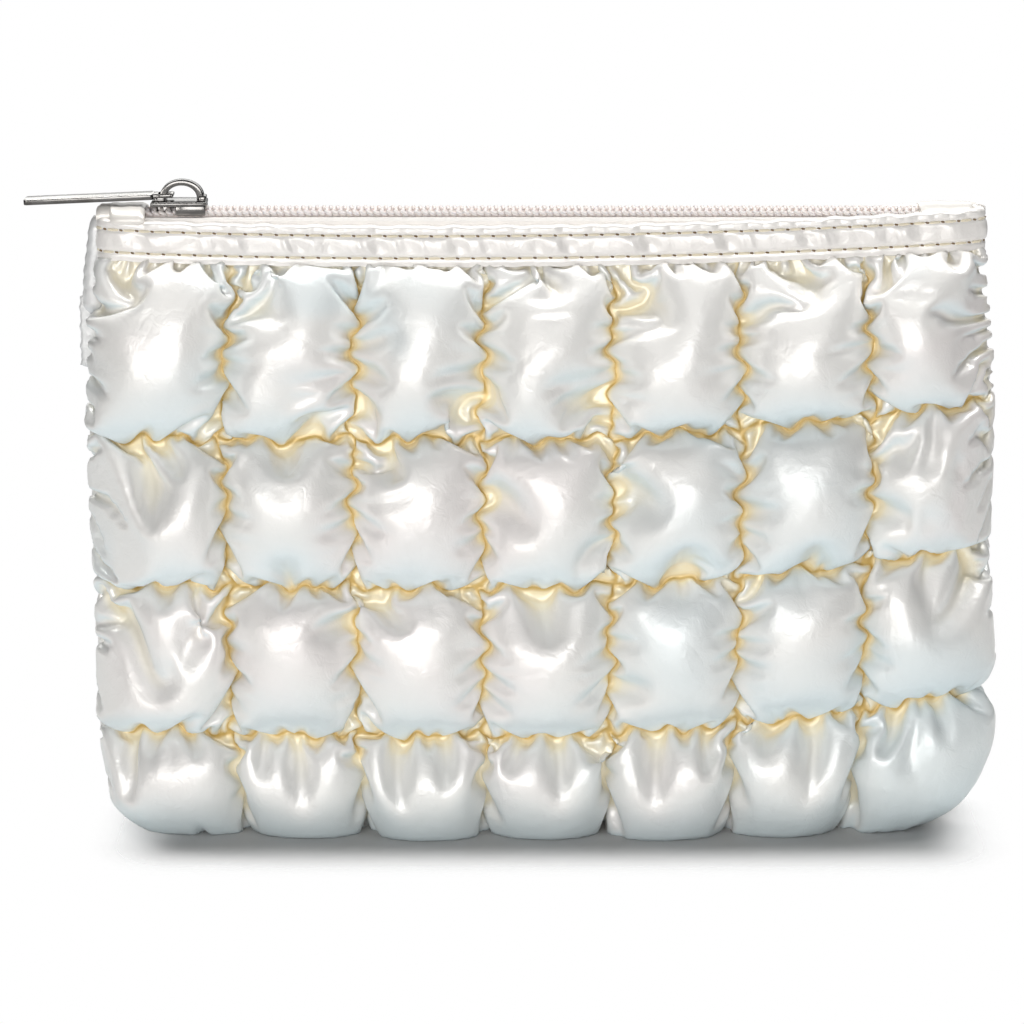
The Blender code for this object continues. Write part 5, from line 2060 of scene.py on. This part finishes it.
@dataclass
class Studio:
    """Pale floor, soft lights and the camera at the photograph's angle."""

    target: Triple = (0.0004, 0.0, 0.07038)
    elevation: float = 13.0
    distance: float = 0.9
    lens: float = 142.8
    floor_size: float = 3.0
    # shade_box, shade_centre, shade_fade and shade: a painted contact shadow round the pouch's footprint
    shade_box: tuple[float, float] = (0.081, 0.0205)
    shade_centre: float = 0.0088
    shade_fade: tuple[float, float] = (0.022, 0.025)
    shade: Triple = (0.50, 0.50, 0.50)
    outer: Triple = (0.72, 0.72, 0.72)
    world_colour: Triple = (0.80, 0.90, 0.95)
    world_strength: float = 0.07

    def add_light(self, box: SoftBox) -> None:
        """Add a soft box that faces the pouch.

        Args:
            box: The light.
        """
        bpy.ops.object.light_add(type="AREA", location=box.place)
        light = bpy.context.object
        light.name = box.name
        light.data.shape = "RECTANGLE"
        light.data.size, light.data.size_y = box.size
        light.data.energy = box.power
        light.data.color = box.colour
        light.rotation_euler = (Vector(self.target) - Vector(box.place)).to_track_quat("-Z", "Y").to_euler()

    def build_lights(self) -> None:
        """Add the lights and the surroundings that they fill."""
        for box in SOFT_BOXES:
            self.add_light(box)
        world = bpy.data.worlds.new("studio_world")
        world.use_nodes = True
        bpy.context.scene.world = world
        shader = Shader(world.node_tree)
        lit = world.node_tree.nodes["Background"]
        shader.feed(lit, Color=self.world_colour, Strength=self.world_strength)
        seen = shader.add("Background", Color=(1.0, 1.0, 1.0), Strength=1.0)
        join = shader.add("MixShader", Fac=shader.add("LightPath").outputs["Is Camera Ray"])
        shader.put(lit.outputs[0], join.inputs[1])
        shader.put(seen.outputs[0], join.inputs[2])
        shader.feed(world.node_tree.nodes["World Output"], Surface=join.outputs[0])

    def build_floor(self) -> None:
        """Add the pale floor, with a painted contact shadow round the pouch, which fades into the white round
        the pouch.
        """
        clear_selection()
        bpy.ops.mesh.primitive_plane_add(size=self.floor_size)
        floor = take_primitive("studio_floor")
        material, shader, surface = start_material("pale_floor")
        place = shader.coordinates()
        grain = shader.add("TexNoise", Vector=place, Scale=90.0, Detail=3.0)
        pale = shader.mix(grain.outputs["Fac"], (0.97, 0.97, 0.97), (0.99, 0.99, 0.99))
        part = shader.add("SeparateXYZ", Vector=place)
        beside = []
        for axis, middle, half, fade in zip("XY", (self.shade_centre, 0.0), self.shade_box, self.shade_fade):
            out = shader.math("ABSOLUTE", shader.math("SUBTRACT", part.outputs[axis], middle))
            out = shader.math("SUBTRACT", out, half)
            out = shader.math("MAXIMUM", shader.math("DIVIDE", out, fade), 0.0)
            beside.append(shader.math("MULTIPLY", out, out))
        far = shader.math("SQRT", shader.math("ADD", *beside))
        # painted contact shadow: the base colour darkens towards the pouch's footprint
        colour = shader.mix(shader.ramp(far, 0.0, 0.8), self.shade, pale)
        colour = shader.mix(shader.ramp(far, 0.9, 1.6), colour, self.outer)
        shader.feed(surface, Base_Color=colour, Roughness=0.9, Specular_IOR_Level=0.1)
        clear = shader.add("BsdfTransparent")
        seen = shader.add("LightPath").outputs["Is Camera Ray"]
        faded = shader.math("MULTIPLY", shader.ramp(far, 0.0, 1.0), seen)
        join = shader.add("MixShader", Fac=faded)
        shader.put(surface.outputs[0], join.inputs[1])
        shader.put(clear.outputs[0], join.inputs[2])
        shader.feed(material.node_tree.nodes["Material Output"], Surface=join.outputs[0])
        floor.data.materials.append(material)

    def build_camera(self) -> None:
        """Add the camera."""
        turn = math.radians(self.elevation)
        place = Vector(self.target) + self.distance * Vector((0.0, -math.cos(turn), math.sin(turn)))
        bpy.ops.object.camera_add(location=place)
        camera = bpy.context.object
        camera.data.lens = self.lens
        camera.data.sensor_width = 36.0
        camera.data.clip_start = 0.01
        camera.rotation_euler = (Vector(self.target) - place).to_track_quat("-Z", "Y").to_euler()
        bpy.context.scene.camera = camera
        bpy.context.scene.view_settings.view_transform = "Standard"

    def build(self) -> None:
        """Set up the studio."""
        clear_selection()
        self.build_lights()
        self.build_floor()
        self.build_camera()


def main() -> None:
    """Build the pouch's looks round its solids."""
    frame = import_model()
    Studio().build()
    groups = {"pearl": pearl_group(), "wrinkles": wrinkle_group(), "weave": weave_group(),
              "wear": wear_group()}
    cloth = PearlCloth().make(groups)
    tape = WovenTape().make(groups)
    coil = MouldedCoil().make(groups)
    nickel = PolishedNickel("dark_nickel_finish").make(groups)
    # the cast finish has a weaker painted highlight on its upper faces
    cast = PolishedNickel("cast_nickel_finish", upper=(0.24, 0.235, 0.23)).make(groups)
    trim = PearlCloth("pearl_trim_finish", (0.94, 0.91, 0.88), (0.90, 0.87, 0.85), coat=0.5,
                      coat_roughness=0.19).make(groups)
    ends = PearlCloth("pearl_end_finish", (0.87, 0.835, 0.79), (0.86, 0.83, 0.80), coat=0.35).make(groups)
    # a darker, cooler copy of the pearl cloth: painted shade on the side binding and side loop
    shaded_side_cloth = PearlCloth("pearl_shaded_side_finish", (0.80, 0.80, 0.80), (0.74, 0.77, 0.79), coat=0.4).make(groups)
    low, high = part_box("front_band")
    form = PouchForm(centre_x=(low.x + high.x) / 2)
    quilt_map = QuiltMap(form, Quilt())
    PuffedWall(quilt_map, Side.FRONT, FRONT_FOLDS, 7).build(cloth)
    PuffedWall(quilt_map, Side.BACK, BACK_FOLDS, 19).build(cloth)
    bands = (MouthBand(form, Side.FRONT, 31), MouthBand(form, Side.BACK, 43))
    thread = TwistedThread().make(groups)
    # painted shade of the needle holes
    painted_hole_shade = TwistedThread("needle_hole_shade_finish", (0.32, 0.21, 0.10), (0.19, 0.12, 0.05)).make(groups)
    for band in bands:
        band.build(trim)
        BandStitches(band).build(thread, painted_hole_shade)
    ZipperChain(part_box("zipper_chain")).build(coil, coil)
    left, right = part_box("left_end_tab"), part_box("right_end_tab")
    folds = (("left_fold", left[0].x - 0.0050, left[1].x + 0.0003, 0.1393, "left_end_tab", 3, 0.0034, 0.0033),
             ("right_fold", right[0].x - 0.0003, right[1].x + 0.0036, 0.1396, "right_end_tab", 5, 0.0030,
              0.0025))
    for fold in folds:
        EndTab(form, *fold).build(ends)
    SideBinding().build(shaded_side_cloth)
    SideLoop(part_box("side_tab")).build(shaded_side_cloth)
    Slider(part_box("slider")).build(cast)
    hinge = next(joint for joint in frame["joints"] if joint["name"] == "puller_swing")
    Puller(tuple(hinge["pos_m"])).build(nickel)
    dressing = {"front_tape": tape, "back_tape": tape}
    for node, material in dressing.items():
        mesh = frame["nodes"][node].data
        mesh.materials.clear()
        mesh.materials.append(material)


if __name__ == "__main__":
    logging.basicConfig(level=logging.INFO, format="%(message)s")
    main()
